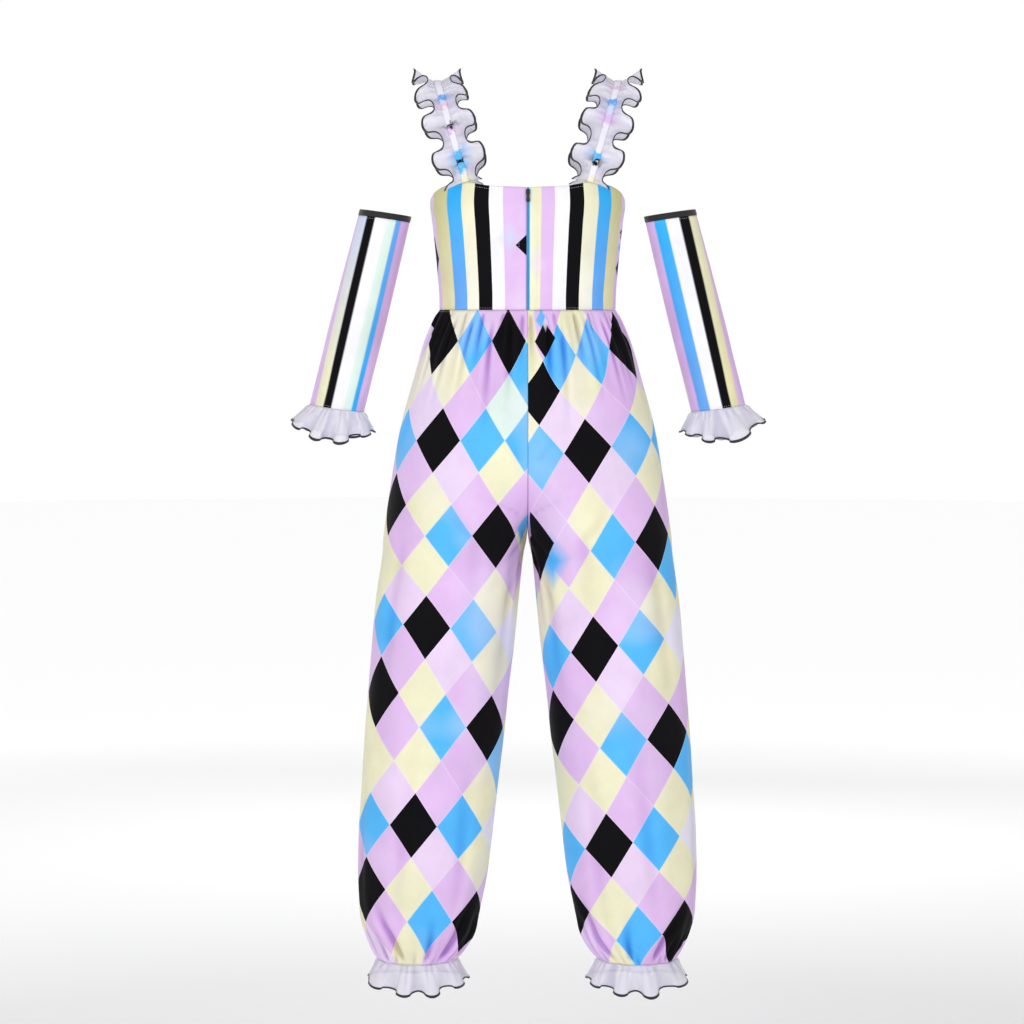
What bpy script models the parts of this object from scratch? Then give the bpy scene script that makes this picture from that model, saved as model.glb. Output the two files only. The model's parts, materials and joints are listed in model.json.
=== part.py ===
"""Clown jumpsuit: a striped bodice on two ruffled straps, harem legs of diamond print and a pair of loose sleeves.

The garment is worn on a general figure that isn't there, so every cloth piece is a thin wall round a hollow. It hangs
from its two straps: the origin lies midway between their crests, at their underside, where the shoulders carry them.
+Z is up, the wearer's left is -X and the back, with its concealed zip, faces -Y.

A panel is a grid laid on a surface point(u, v). u runs along the cloth's width and v runs down it, both from 0 to 1.
The grid lies on the cloth's outer face, and Solidify adds the wall on the inner side.
"""

import math
from typing import NamedTuple

import bmesh
import bpy
from mathutils import Matrix, Vector

OBJECT_NAME = "clown_jumpsuit"
SIDES = {"left": -1, "right": 1}

# Cloth
CLOTH = 0.0013
FRILL = 0.0011
SEAM = 0.0003  # between two pieces that are sewn together
WELD = 1e-6  # a tube's two edges meet within this
SIDE_SEAM = 0.0007  # the same at the outer face where the wall turns, so that the inner faces stay apart too

# Levels
WAIST_Z = -0.3377
HIP_Z = -0.520
CROTCH_Z = -0.679
ANKLE_Z = -1.3225

BODICE_COLUMNS = 9
BODICE_ROWS = 7

# Waist and ankle gathers
FOLDS_PER_PANEL = 6
PANEL_COLUMNS = 3 * FOLDS_PER_PANEL
TROUGH_SHARE = 0.6  # how far the folds' middle lies inside the smooth form
FORK_EASE = 0.75  # under 1, the legs part early and the crotch comes out round

# Concealed zip
ZIP_HALF_WIDTH = 0.0020
ZIP_SLOT = ZIP_HALF_WIDTH + SEAM
ZIP_RECESS = 0.0003
TAPE_THICKNESS = 0.0010
SLIDER_SIZE = Vector((0.0052, 0.0018, 0.0080))
SLIDER_TOP_Z = -0.1625
LUG_SIZE = Vector((0.0009, 0.0032, 0.0026))
PIN_RADIUS = 0.0005
EYE_RADIUS = 0.0013
EYE_BORE_RADIUS = 0.00085
EYE_HALF_LENGTH = 0.0014
RUNNING_GAP = 0.00035
TAB_THICKNESS = 0.0010
TAB_NECK_RADIUS = 0.0011
TAB_FOOT_RADIUS = 0.0028
TAB_LENGTH = 0.0150
ROD_SEGMENTS = 16
TAB_SEGMENTS = 24

# Straps
STRAP_HALF_WIDTH = 0.0050
STRAP_THICKNESS = 0.0012
STRAP_BASE_U = 0.44
STRAP_CREST_X = 0.1344
FRILL_WING = 0.034
WING_TILT = math.radians(30)
WING_SWING = math.radians(30)
STRAP_WAVES = 8
STRAP_STEPS = 5 * STRAP_WAVES
WING_SHARES = (0.0, 0.5, 1.0)  # the rows of a wing, from the band to the hem
FRILL_FLAT_HALF = STRAP_HALF_WIDTH + 0.001  # the part under the band lies flat
SWING_EASE = 1.5  # a wing reaches its whole swing this much before its hem
PATH_STEP = 0.004  # of a strap's length, to find its direction

# Sleeves
SLEEVE_TOP = Vector((0.2118, 0, -0.1940))
SLEEVE_FOOT = Vector((0.2858, 0, -0.4844))
SLEEVE_RING_TILT = math.radians(8.2)
SLEEVE_COLUMNS = 20
SLEEVE_ROWS = 5
BAND_HEIGHT = 0.0090
BAND_THICKNESS = 0.0020

# Ruffles round a limb
ANKLE_WAVES = 9
CUFF_WAVES = 9
WAVE_STEPS = 6
FRILL_ROWS = 2
WAVE_CURL = 0.30  # how far a wave's sides lean over its troughs, over its length by tau
REACH_EXPONENT = 0.85  # under 1, a ruffle springs out at its seam
WAVE_EXPONENT = 1.2  # over 1, its waves open late
DROP_EXPONENT = 1.5  # over 1, it hangs lower only near its sides


class TorsoSection(NamedTuple):
    z: float
    half_width: float
    back_depth: float
    front_depth: float


class LegSection(NamedTuple):
    z: float
    centre_x: float
    half_width: float
    half_depth: float


class SleeveSection(NamedTuple):
    share: float  # of the way down the sleeve
    half_width: float
    half_depth: float


class EdgePoint(NamedTuple):
    u: float
    z: float


class Gather(NamedTuple):
    z: float
    fold: float  # half of a fold's height


class Flare(NamedTuple):
    """A ruffle's hem beside the seam that it hangs from."""

    wider: float
    deeper: float
    drop_at_side: float
    drop_at_middle: float
    wave: float
    hem_sway: float  # how much lower a crest's hem hangs than the mean


BODICE = [
    TorsoSection(-0.1500, 0.1420, 0.0970, 0.0990),
    TorsoSection(-0.1806, 0.1452, 0.0995, 0.1050),
    TorsoSection(-0.2162, 0.1412, 0.1000, 0.1080),
    TorsoSection(-0.2638, 0.1362, 0.0965, 0.1000),
    TorsoSection(-0.3114, 0.1322, 0.0910, 0.0920),
    TorsoSection(-0.3377, 0.1316, 0.0890, 0.0895),
]

TROUSERS = [
    TorsoSection(-0.3380, 0.1318, 0.0892, 0.0897),
    TorsoSection(-0.3472, 0.1369, 0.0940, 0.0940),
    TorsoSection(-0.3591, 0.1422, 0.0990, 0.0985),
    TorsoSection(-0.3905, 0.1557, 0.1080, 0.1060),
    TorsoSection(-0.4354, 0.1693, 0.1190, 0.1150),
    TorsoSection(-0.4803, 0.1822, 0.1270, 0.1200),
    TorsoSection(-0.5254, 0.1930, 0.1320, 0.1230),
    TorsoSection(-0.5931, 0.2044, 0.1320, 0.1240),
    TorsoSection(-0.6610, 0.2145, 0.1260, 0.1200),
    TorsoSection(-0.6836, 0.2172, 0.1220, 0.1180),
]

LEG = [
    LegSection(-0.5200, 0.0980, 0.0970, 0.1250),
    LegSection(-0.6790, 0.1090, 0.1076, 0.1190),
    LegSection(-0.7063, 0.1127, 0.1058, 0.1160),
    LegSection(-0.7745, 0.1211, 0.1075, 0.1120),
    LegSection(-0.8429, 0.1276, 0.1072, 0.1080),
    LegSection(-0.9114, 0.1346, 0.1059, 0.1030),
    LegSection(-0.9802, 0.1409, 0.1053, 0.0980),
    LegSection(-1.0491, 0.1472, 0.1032, 0.0940),
    LegSection(-1.1182, 0.1534, 0.1018, 0.0910),
    LegSection(-1.1876, 0.1585, 0.0985, 0.0870),
    LegSection(-1.2339, 0.1622, 0.0937, 0.0820),
    LegSection(-1.2571, 0.1638, 0.0907, 0.0780),
    LegSection(-1.2803, 0.1631, 0.0845, 0.0700),
    LegSection(-1.3035, 0.1645, 0.0732, 0.0590),
    LegSection(-1.3225, 0.1678, 0.0603, 0.0500),
]

SLEEVE = [
    SleeveSection(0.0, 0.0384, 0.0400),
    SleeveSection(0.5, 0.0408, 0.0430),
    SleeveSection(1.0, 0.0408, 0.0410),
]

TOP_EDGE = [
    EdgePoint(0.00, -0.1595),
    EdgePoint(0.25, -0.1570),
    EdgePoint(0.44, -0.1515),
    EdgePoint(0.62, -0.1550),
    EdgePoint(0.80, -0.1640),
    EdgePoint(0.90, -0.1720),
    EdgePoint(1.00, -0.1770),
]

GATHERS = [
    Gather(-0.3380, 0.0),
    Gather(-0.3472, 0.0022),
    Gather(-0.3591, 0.0028),
    Gather(-0.3800, 0.0024),
    Gather(-0.4130, 0.0013),
    Gather(-0.4580, 0.0004),
    Gather(-0.5000, 0.0),
    Gather(-1.2000, 0.0),
    Gather(-1.2450, 0.0008),
    Gather(-1.2700, 0.0018),
    Gather(-1.2950, 0.0027),
    Gather(-1.3120, 0.0022),
    Gather(-1.3225, 0.0),
]

# The rows of a leg panel's grid: a few per fold's length, closer where the form turns
PANEL_LEVELS_TO_HIP = [-0.3380, -0.3455, -0.3560, -0.3750, -0.4130, -0.4680, HIP_Z]
CROTCH_STEPS = 5
LEVEL_NUDGE = 1e-4  # keeps a row that lies on a level from falling to the one before
PANEL_LEVELS_TO_ANKLE = [-0.7100, -0.8000, -0.9300, -1.0600, -1.1700, -1.2350, -1.2700, -1.2950, -1.3120, ANKLE_Z]

ANKLE_FLARE = Flare(
    wider=0.0185, deeper=0.0200, drop_at_side=0.0310, drop_at_middle=0.0410, wave=0.0085, hem_sway=0.0030
)
CUFF_FLARE = Flare(
    wider=0.0240, deeper=0.0180, drop_at_side=0.0270, drop_at_middle=0.0480, wave=0.0080, hem_sway=0.0035
)

COLOURS = {
    "stripe": (0.83, 0.66, 0.86),
    "diamond": (0.80, 0.62, 0.85),
    "frill": (0.78, 0.77, 0.86),
    "binding": (0.02, 0.02, 0.025),
    "zip": (0.12, 0.45, 0.85),
    "pull": (0.03, 0.03, 0.035),
}


def at(table, key):
    """Return the columns of a table at one value of its first column, on a smooth curve through the rows."""
    keys = [row[0] for row in table]
    key = min(max(key, min(keys)), max(keys))
    last = len(table) - 1
    i = next(n for n in range(last) if (key - keys[n]) * (key - keys[n + 1]) <= 0)
    step = keys[i + 1] - keys[i]
    share = (key - keys[i]) / step

    def slope(n, column):
        before, after = max(n - 1, 0), min(n + 1, last)
        return (table[after][column] - table[before][column]) / (keys[after] - keys[before])

    def value(column):
        start, end = table[i][column], table[i + 1][column]
        straight = (end - start) * (3 - 2 * share) * share * share + start
        lead = step * slope(i, column) * share * (1 - share) ** 2
        trail = step * slope(i + 1, column) * share * share * (1 - share)
        return straight + lead - trail

    return [value(column) for column in range(1, len(table[0]))]


def mix(start, end, share):
    return start + (end - start) * share


def ease(share):
    return share * share * (3 - 2 * share)


# Surfaces


def torso_ring(table, z, turn, facing):
    """Return the point of a torso ring a turn of 0 to pi/2 away from the centre line of the back or the front."""
    half_width, back_depth, front_depth = at(table, z)
    depth = back_depth if facing < 0 else front_depth
    return Vector((half_width * math.sin(turn), facing * depth * math.cos(turn), z))


def bodice_point(u, v, side, facing):
    """Return a point of a bodice quarter, u from the centre line to the side seam and v from the top edge down."""
    z = mix(at(TOP_EDGE, u)[0], WAIST_Z, v)
    start = 0.0
    if facing < 0:
        start = math.asin(ZIP_SLOT / at(BODICE, z)[0])
    seam = SIDE_SEAM / 2 / at(BODICE, z)[1]
    point = torso_ring(BODICE, z, mix(start, math.pi / 2 - seam, u), facing)
    point.x *= side
    return point


def fold_height(u, z):
    """Return how far the gathers move the cloth out at u of a leg panel, with a trough at each of its seams."""
    return at(GATHERS, z)[0] * (-TROUGH_SHARE - math.cos(math.tau * FOLDS_PER_PANEL * u))


def leg_ring(z, facing):
    """Return a leg panel's ring: the centre of its curve, its half width and depth, and the turn of its inner seam.

    Above the hip the curve is a quarter of the torso's ring. Down the fork its centre moves out to the leg's, and the
    curve runs on past it to the middle plane, where the seat seam is, until it is half of the leg's own ring.
    """
    half_width, back_depth, front_depth = at(TROUSERS, z)
    depth = back_depth if facing < 0 else front_depth
    if z >= HIP_Z:
        return 0.0, half_width, depth, math.pi / 2
    centre_x, leg_half_width, leg_depth = at(LEG, z)
    if z <= CROTCH_Z:
        return centre_x, leg_half_width, leg_depth, math.pi
    down = (HIP_Z - z) / (HIP_Z - CROTCH_Z)
    centre_x *= ease(down ** FORK_EASE)
    half_width -= centre_x
    seam_turn = math.acos(max(-1.0, -centre_x / half_width))
    return centre_x, half_width, mix(depth, leg_depth, ease(down)), seam_turn


def smooth_leg_point(u, z, facing):
    """Return a point of a leg panel with no gathers, u from its inner seam to the side seam."""
    centre_x, half_width, depth, seam_turn = leg_ring(z, facing)
    turn = seam_turn * (1 - u)
    return Vector((centre_x + half_width * math.cos(turn), facing * depth * math.sin(turn), z))


def leg_point(u, z, side, facing):
    """Return a point of a gathered leg panel, clear of its neighbours by half a seam."""
    centre_x, half_width, depth, seam_turn = leg_ring(z, facing)
    turn = seam_turn * (1 - u)
    outward = Vector((depth * math.cos(turn), facing * half_width * math.sin(turn), 0)).normalized()
    point = smooth_leg_point(u, z, facing) + outward * fold_height(u, z)
    point.x = max(point.x, SEAM / 2)
    point.y = facing * max(facing * point.y, SIDE_SEAM / 2)
    point.x *= side
    return point


def panel_levels():
    """Return the heights of a leg panel's rows, from the waist to the ankle."""
    quarter = math.pi / 2 / CROTCH_STEPS
    fork = [HIP_Z - (HIP_Z - CROTCH_Z) * math.sin(quarter * (n + 1)) for n in range(CROTCH_STEPS)]
    return PANEL_LEVELS_TO_HIP + fork + PANEL_LEVELS_TO_ANKLE


def sleeve_frame(share, side):
    """Return a sleeve ring's centre, the direction of its width and the sleeve's own downward direction."""
    down = SLEEVE_FOOT - SLEEVE_TOP
    centre = SLEEVE_TOP + down * share
    across = Vector((-math.cos(SLEEVE_RING_TILT), 0, -math.sin(SLEEVE_RING_TILT)))
    mirror = Matrix.Diagonal((side, 1, 1))
    return mirror @ centre, mirror @ across, (mirror @ down).normalized()


def sleeve_point(u, share, side, outset=0.0):
    """Return a point of a sleeve ring, u once round from the hidden seam at the front."""
    half_width, half_depth = at(SLEEVE, share)
    centre, across, _ = sleeve_frame(share, side)
    turn = math.tau * u
    return (
        centre
        + across * (half_width + outset) * math.sin(turn)
        + Vector((0, 1, 0)) * (half_depth + outset) * math.cos(turn)
    )


def frill_point(u, v, centre, across, down, half_width, half_depth, flare, waves):
    """Return a point of a ruffle round a limb, v from its seam to its hem, with waves that grow towards the hem."""
    phase = math.tau * waves * u
    turn = math.tau * u + WAVE_CURL * v * math.sin(2 * phase) / waves
    reach = v ** REACH_EXPONENT
    drop = mix(flare.drop_at_middle, flare.drop_at_side, abs(math.sin(turn)) ** DROP_EXPONENT)
    drop += flare.hem_sway * v * math.cos(phase)
    rim = Vector((0, 1, 0)) * math.cos(turn) + across * math.sin(turn)
    wave = flare.wave * v ** WAVE_EXPONENT * math.cos(phase)
    return (
        centre
        + across * (half_width + flare.wider * reach) * math.sin(turn)
        + Vector((0, 1, 0)) * (half_depth + flare.deeper * reach) * math.cos(turn)
        + rim * wave
        + down * drop * v
    )


def strap_path(t, side):
    """Return the underside of a strap at t from 0, at the back's top edge, to 1, at the front's."""
    facing = -1 if t < 0.5 else 1
    base_z = at(TOP_EDGE, STRAP_BASE_U)[0] + SEAM
    foot = torso_ring(BODICE, base_z, STRAP_BASE_U * math.pi / 2, facing)
    rise = math.sin(math.pi * t)
    return Vector(
        (
            side * mix(foot.x, STRAP_CREST_X, rise),
            -abs(foot.y) * math.cos(math.pi * t),
            mix(base_z, 0.0, rise),
        )
    )


def strap_frame(t, side):
    """Return a strap's point at t, the direction of its width and the one that points away from the shoulder."""
    low, high = max(t - PATH_STEP, 0), min(t + PATH_STEP, 1)
    forward = (strap_path(high, side) - strap_path(low, side)).normalized()
    across = (Vector((1, 0, 0)) - forward * forward.x).normalized()
    return strap_path(t, side), across, across.cross(forward)


def strap_point(u, t, side):
    """Return a point of the printed band, which lies on the frill's middle."""
    point, across, away = strap_frame(t, side)
    return point + across * mix(-STRAP_HALF_WIDTH, STRAP_HALF_WIDTH, u) + away * (FRILL + SEAM + STRAP_THICKNESS)


def strap_frill_point(u, t, side):
    """Return a point of a strap's frill, u across both wings; each wing swings up and down as its waves run on."""
    point, across, away = strap_frame(t, side)
    sign = 1 if u > 0.5 else -1
    last = len(WING_SHARES) - 1
    place = abs(2 * u - 1) * (last + 0.5) - 0.5
    below = min(max(int(place), 0), last - 1)
    share = mix(WING_SHARES[below], WING_SHARES[below + 1], place - below) if place > 0 else 0.0
    flat = FRILL_FLAT_HALF * min(1.0, 2 * place + 1)
    length = FRILL_WING * share
    swing = WING_SWING * math.sin(math.pi * STRAP_WAVES * abs(2 * t - 1))
    tilt = WING_TILT - swing * min(1.0, SWING_EASE * share)
    return (
        point
        + away * (FRILL + length * math.sin(tilt))
        + across * sign * (flat + length * math.cos(tilt))
    )


# Making objects


def material(name):
    """Return the material of that name, made on first use."""
    made = bpy.data.materials.get(name)
    if made is None:
        made = bpy.data.materials.new(name)
        made.use_nodes = True
        shader = made.node_tree.nodes["Principled BSDF"]
        shader.inputs["Base Color"].default_value = (*COLOURS[name], 1)
        shader.inputs["Roughness"].default_value = 0.45
        shader.inputs["Metallic"].default_value = 0.0
    return made


def new_object(name, form, colour, collection):
    """Turn a bmesh into a named object with its own copy of a material."""
    mesh = bpy.data.meshes.new(name)
    form.to_mesh(mesh)
    form.free()
    made = bpy.data.objects.new(name, mesh)
    made.data.materials.append(material(colour).copy())
    made.data.materials[0].name = name
    collection.objects.link(made)
    mesh.shade_smooth()
    return made


def cloth(name, point, columns, rows, outward, colour, collection, wall=CLOTH, closed=False):
    """Lay a grid on the surface point(u, v), its face towards outward at the middle, and give it a wall."""
    form = bmesh.new()
    bmesh.ops.create_grid(form, x_segments=columns, y_segments=rows, size=0.5)
    for vertex in form.verts:
        vertex.co = point(vertex.co.x + 0.5, vertex.co.y + 0.5)
    if closed:
        bmesh.ops.remove_doubles(form, verts=form.verts, dist=WELD)
    step = 0.01
    middle = point(0.5, 0.5)
    facing = (point(0.5 + step, 0.5) - middle).cross(point(0.5, 0.5 + step) - middle)
    if facing.dot(outward) < 0:
        bmesh.ops.reverse_faces(form, faces=form.faces)
    made = new_object(name, form, colour, collection)
    solidify = made.modifiers.new("wall", "SOLIDIFY")
    solidify.thickness = wall
    solidify.offset = -1
    return made


def block(size, centre):
    """Return a bmesh box of that size round centre."""
    form = bmesh.new()
    bmesh.ops.create_cube(form, size=1, matrix=Matrix.Translation(centre) @ Matrix.Diagonal((*size, 1)))
    return form


def rod(radius, half_length, centre, axis):
    """Return a bmesh cylinder round centre, along X or Y."""
    turn = Matrix.Rotation(math.pi / 2, 4, "Y" if axis == "X" else "X")
    form = bmesh.new()
    bmesh.ops.create_cone(
        form,
        cap_ends=True,
        segments=ROD_SEGMENTS,
        radius1=radius,
        radius2=radius,
        depth=2 * half_length,
        matrix=Matrix.Translation(centre) @ turn,
    )
    return form


def combine(target, form, operation, cutters):
    """Join a hidden helper to the target, or cut it out."""
    mesh = bpy.data.meshes.new("helper")
    form.to_mesh(mesh)
    form.free()
    helper = bpy.data.objects.new("helper", mesh)
    helper.hide_render = True
    helper.display_type = "WIRE"
    cutters.objects.link(helper)
    boolean = target.modifiers.new(operation.lower(), "BOOLEAN")
    boolean.operation = operation
    boolean.object = helper


# The pieces


def build_bodice(parts):
    for name, side in SIDES.items():
        cloth(
            f"bodice_back_{name}",
            lambda u, v, side=side: bodice_point(u, v, side, -1),
            BODICE_COLUMNS,
            BODICE_ROWS,
            Vector((side, -1, 0)),
            "stripe",
            parts,
        )

    def front(u, v):
        side = 1 if u > 0.5 else -1
        return bodice_point(abs(2 * u - 1), v, side, 1)

    cloth("bodice_front", front, 2 * BODICE_COLUMNS, BODICE_ROWS, Vector((0, 1, 0)), "stripe", parts)


def build_legs(parts):
    levels = panel_levels()
    rows = len(levels) - 1
    for name, side in SIDES.items():
        for half, facing in (("back", -1), ("front", 1)):

            def panel(u, v, side=side, facing=facing):
                place = v * rows
                below = min(int(place + LEVEL_NUDGE), rows - 1)
                return leg_point(u, mix(levels[below], levels[below + 1], place - below), side, facing)

            cloth(
                f"leg_{name}_{half}",
                panel,
                PANEL_COLUMNS,
                rows,
                Vector((0, facing, 0)),
                "diamond",
                parts,
            )


def build_ankle_ruffles(parts):
    centre_x, half_width, half_depth = at(LEG, ANKLE_Z)
    for name, side in SIDES.items():
        centre = Vector((side * centre_x, 0, ANKLE_Z - SEAM))
        cloth(
            f"ankle_ruffle_{name}",
            lambda u, v, centre=centre: frill_point(
                u,
                v,
                centre,
                Vector((1, 0, 0)),
                Vector((0, 0, -1)),
                half_width,
                half_depth,
                ANKLE_FLARE,
                ANKLE_WAVES,
            ),
            ANKLE_WAVES * WAVE_STEPS,
            FRILL_ROWS,
            Vector((0, -1, 0)),
            "frill",
            parts,
            FRILL,
            closed=True,
        )


def build_sleeves(parts):
    length = (SLEEVE_FOOT - SLEEVE_TOP).length
    band_share = BAND_HEIGHT / length
    gap = SEAM / length
    for name, side in SIDES.items():
        back = Vector((0, -1, 0))
        cloth(
            f"sleeve_band_{name}",
            lambda u, v, side=side: sleeve_point(u, v * band_share, side, BAND_THICKNESS - CLOTH),
            SLEEVE_COLUMNS,
            1,
            back,
            "binding",
            parts,
            BAND_THICKNESS,
            closed=True,
        )
        cloth(
            f"sleeve_{name}",
            lambda u, v, side=side: sleeve_point(u, mix(band_share + gap, 1, v), side),
            SLEEVE_COLUMNS,
            SLEEVE_ROWS,
            back,
            "stripe",
            parts,
            closed=True,
        )
        half_width, half_depth = at(SLEEVE, 1)
        centre, across, down = sleeve_frame(1 + gap, side)
        cloth(
            f"sleeve_ruffle_{name}",
            lambda u, v, centre=centre, across=across, down=down: frill_point(
                u, v, centre, across, down, half_width, half_depth, CUFF_FLARE, CUFF_WAVES
            ),
            CUFF_WAVES * WAVE_STEPS,
            FRILL_ROWS,
            back,
            "frill",
            parts,
            FRILL,
            closed=True,
        )


def build_straps(parts):
    for name, side in SIDES.items():
        cloth(
            f"strap_{name}",
            lambda u, v, side=side: strap_point(u, v, side),
            1,
            STRAP_STEPS,
            Vector((0, 0, 1)),
            "stripe",
            parts,
            STRAP_THICKNESS,
        )
        cloth(
            f"strap_ruffle_{name}",
            lambda u, v, side=side: strap_frill_point(u, v, side),
            2 * len(WING_SHARES) - 1,
            STRAP_STEPS,
            Vector((0, 0, 1)),
            "frill",
            parts,
            FRILL,
        )


def slider_axis():
    """Return the height and depth of the pull tab's pin, and the depth of the slider's inner face."""
    foot_z = SLIDER_TOP_Z - SLIDER_SIZE.z
    inner_y = -at(BODICE, foot_z)[1] - SEAM
    pin_y = inner_y - SLIDER_SIZE.y - EYE_RADIUS - RUNNING_GAP
    return SLIDER_TOP_Z - SLIDER_SIZE.z / 2, pin_y, inner_y


def build_zip(parts, cutters):
    def strip(u, v):
        z = mix(at(TOP_EDGE, 0)[0] - SEAM, WAIST_Z, v)
        return Vector((mix(-ZIP_HALF_WIDTH, ZIP_HALF_WIDTH, u), -at(BODICE, z)[1] + ZIP_RECESS, z))

    cloth("zip_tape", strip, 1, BODICE_ROWS, Vector((0, -1, 0)), "zip", parts, TAPE_THICKNESS)

    pin_z, pin_y, inner_y = slider_axis()
    body_centre = Vector((0, inner_y - SLIDER_SIZE.y / 2, pin_z))
    slider = new_object("zip_slider", block(SLIDER_SIZE, body_centre), "pull", parts)
    slider.data.shade_flat()
    lug_x = SLIDER_SIZE.x / 2 - LUG_SIZE.x / 2
    for sign in (-1, 1):
        lug_centre = Vector((sign * lug_x, pin_y - EYE_RADIUS + LUG_SIZE.y / 2, pin_z))
        combine(slider, block(LUG_SIZE, lug_centre), "UNION", cutters)
    combine(slider, rod(PIN_RADIUS, lug_x, Vector((0, pin_y, pin_z)), "X"), "UNION", cutters)

    pin = Vector((0, pin_y, pin_z))
    plate = rod(TAB_NECK_RADIUS, TAB_THICKNESS / 2, Vector((0, 0, -TAB_NECK_RADIUS)), "Y")
    foot = Vector((0, 0, -TAB_LENGTH + TAB_FOOT_RADIUS))
    bmesh.ops.create_cone(
        plate,
        cap_ends=True,
        segments=TAB_SEGMENTS,
        radius1=TAB_FOOT_RADIUS,
        radius2=TAB_FOOT_RADIUS,
        depth=TAB_THICKNESS,
        matrix=Matrix.Translation(foot) @ Matrix.Rotation(math.pi / 2, 4, "X"),
    )
    bmesh.ops.delete(plate, geom=plate.edges[:], context="EDGES_FACES")
    bmesh.ops.convex_hull(plate, input=plate.verts)
    tab = new_object("zip_pull", plate, "pull", parts)
    tab.location = pin
    bpy.context.view_layer.update()
    combine(tab, rod(EYE_RADIUS, EYE_HALF_LENGTH, pin, "X"), "UNION", cutters)
    combine(tab, rod(EYE_BORE_RADIUS, 2 * EYE_HALF_LENGTH, pin, "X"), "DIFFERENCE", cutters)


def main():
    for old in list(bpy.data.objects):
        bpy.data.objects.remove(old, do_unlink=True)
    parts = bpy.data.collections.new(OBJECT_NAME)
    cutters = bpy.data.collections.new("cutters")
    bpy.context.scene.collection.children.link(parts)
    bpy.context.scene.collection.children.link(cutters)
    build_bodice(parts)
    build_straps(parts)
    build_zip(parts, cutters)
    build_legs(parts)
    build_ankle_ruffles(parts)
    build_sleeves(parts)


main()
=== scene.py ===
"""Clown jumpsuit, dressed: the cloth, trims and fastenings that show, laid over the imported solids.

Every sub-assembly is a class that holds its own sizes and makes its own pieces. A cloth piece is a
grid laid on a surface point(u, v), u along its width and v down it, with a thin wall on the inner
side. The wearer's left is -X and the back, with the concealed zip, faces -Y. All sizes are in metres.
"""

import json
import logging
import math
from dataclasses import dataclass, field
from enum import Enum
from functools import lru_cache
from typing import Callable, NamedTuple, Sequence

import bmesh
import bpy
from mathutils import Matrix, Vector

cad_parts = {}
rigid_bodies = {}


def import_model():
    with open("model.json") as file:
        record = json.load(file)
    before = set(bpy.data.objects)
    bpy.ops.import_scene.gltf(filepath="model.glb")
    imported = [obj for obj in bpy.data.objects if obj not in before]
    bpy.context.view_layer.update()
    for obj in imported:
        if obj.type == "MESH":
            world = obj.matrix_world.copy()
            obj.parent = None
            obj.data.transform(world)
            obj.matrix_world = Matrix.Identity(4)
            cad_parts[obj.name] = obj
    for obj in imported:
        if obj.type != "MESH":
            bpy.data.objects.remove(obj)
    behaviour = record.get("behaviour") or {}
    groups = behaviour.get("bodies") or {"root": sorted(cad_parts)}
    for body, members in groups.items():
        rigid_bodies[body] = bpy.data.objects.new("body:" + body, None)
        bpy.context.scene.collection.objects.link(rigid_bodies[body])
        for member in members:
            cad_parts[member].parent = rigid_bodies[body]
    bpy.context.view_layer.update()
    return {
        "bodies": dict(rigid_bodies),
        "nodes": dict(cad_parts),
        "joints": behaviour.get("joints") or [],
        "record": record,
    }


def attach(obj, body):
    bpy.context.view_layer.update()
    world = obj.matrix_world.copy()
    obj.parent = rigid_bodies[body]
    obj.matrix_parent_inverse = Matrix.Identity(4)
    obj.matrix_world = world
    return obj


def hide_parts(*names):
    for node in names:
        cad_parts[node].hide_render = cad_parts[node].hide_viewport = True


LOG = logging.getLogger("clown_jumpsuit")

Socket = bpy.types.NodeSocket
Material = bpy.types.Material
Piece = bpy.types.Object
SurfacePoint = Callable[[float, float], Vector]
ChartPoint = Callable[[float, float], tuple[float, float]]
SurfaceValue = Callable[[float, float], float]

PRINT_MAP = "print"
# The map that holds how deep a point lies in a fold, for the shade painted there
FOLD_SHADE_MAP = "fold_shadow"
GARMENT = "garment"
WELD = 1e-6

# Cloth and seams
CLOTH_WALL = 0.0009
FRILL_WALL = 0.0006
SEAM = 0.0003
SIDE_SEAM = 0.0007

# Levels
WAIST_Z = -0.3377
HIP_Z = -0.52
CROTCH_Z = -0.679
ANKLE_Z = -1.3225
FORK_EASE = 0.75
FLOOR_Z = -1.8

# How far round a limb the print is laid flat to the eye
PRINT_TURN = math.pi / 3

# How far a stitch's middle stands off the cloth, in its own heights
STITCH_LIFT = 0.3

# Directions
RIGHTWARD = Vector((1, 0, 0))
FORWARD = Vector((0, 1, 0))
UP = Vector((0, 0, 1))

# The eye that the costume is shown to, and that its print is laid out for
EYE = Vector((-0.0233, -4.0, -0.323))
EYE_PITCH = math.radians(4.55)
LENS_MM = 93.75
SENSOR_MM = 36.0


class Worded(Enum):
    """A choice whose name stands in the pieces' names."""

    @property
    def word(self) -> str:
        """Return the choice as it stands in a piece's name."""
        return self.name.lower()


class Side(Worded):
    """The wearer's side; the value is the sign of X."""

    LEFT = -1
    RIGHT = 1


class Facing(Worded):
    """Which way a panel faces; the value is the sign of Y."""

    BACK = -1
    FRONT = 1


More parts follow.
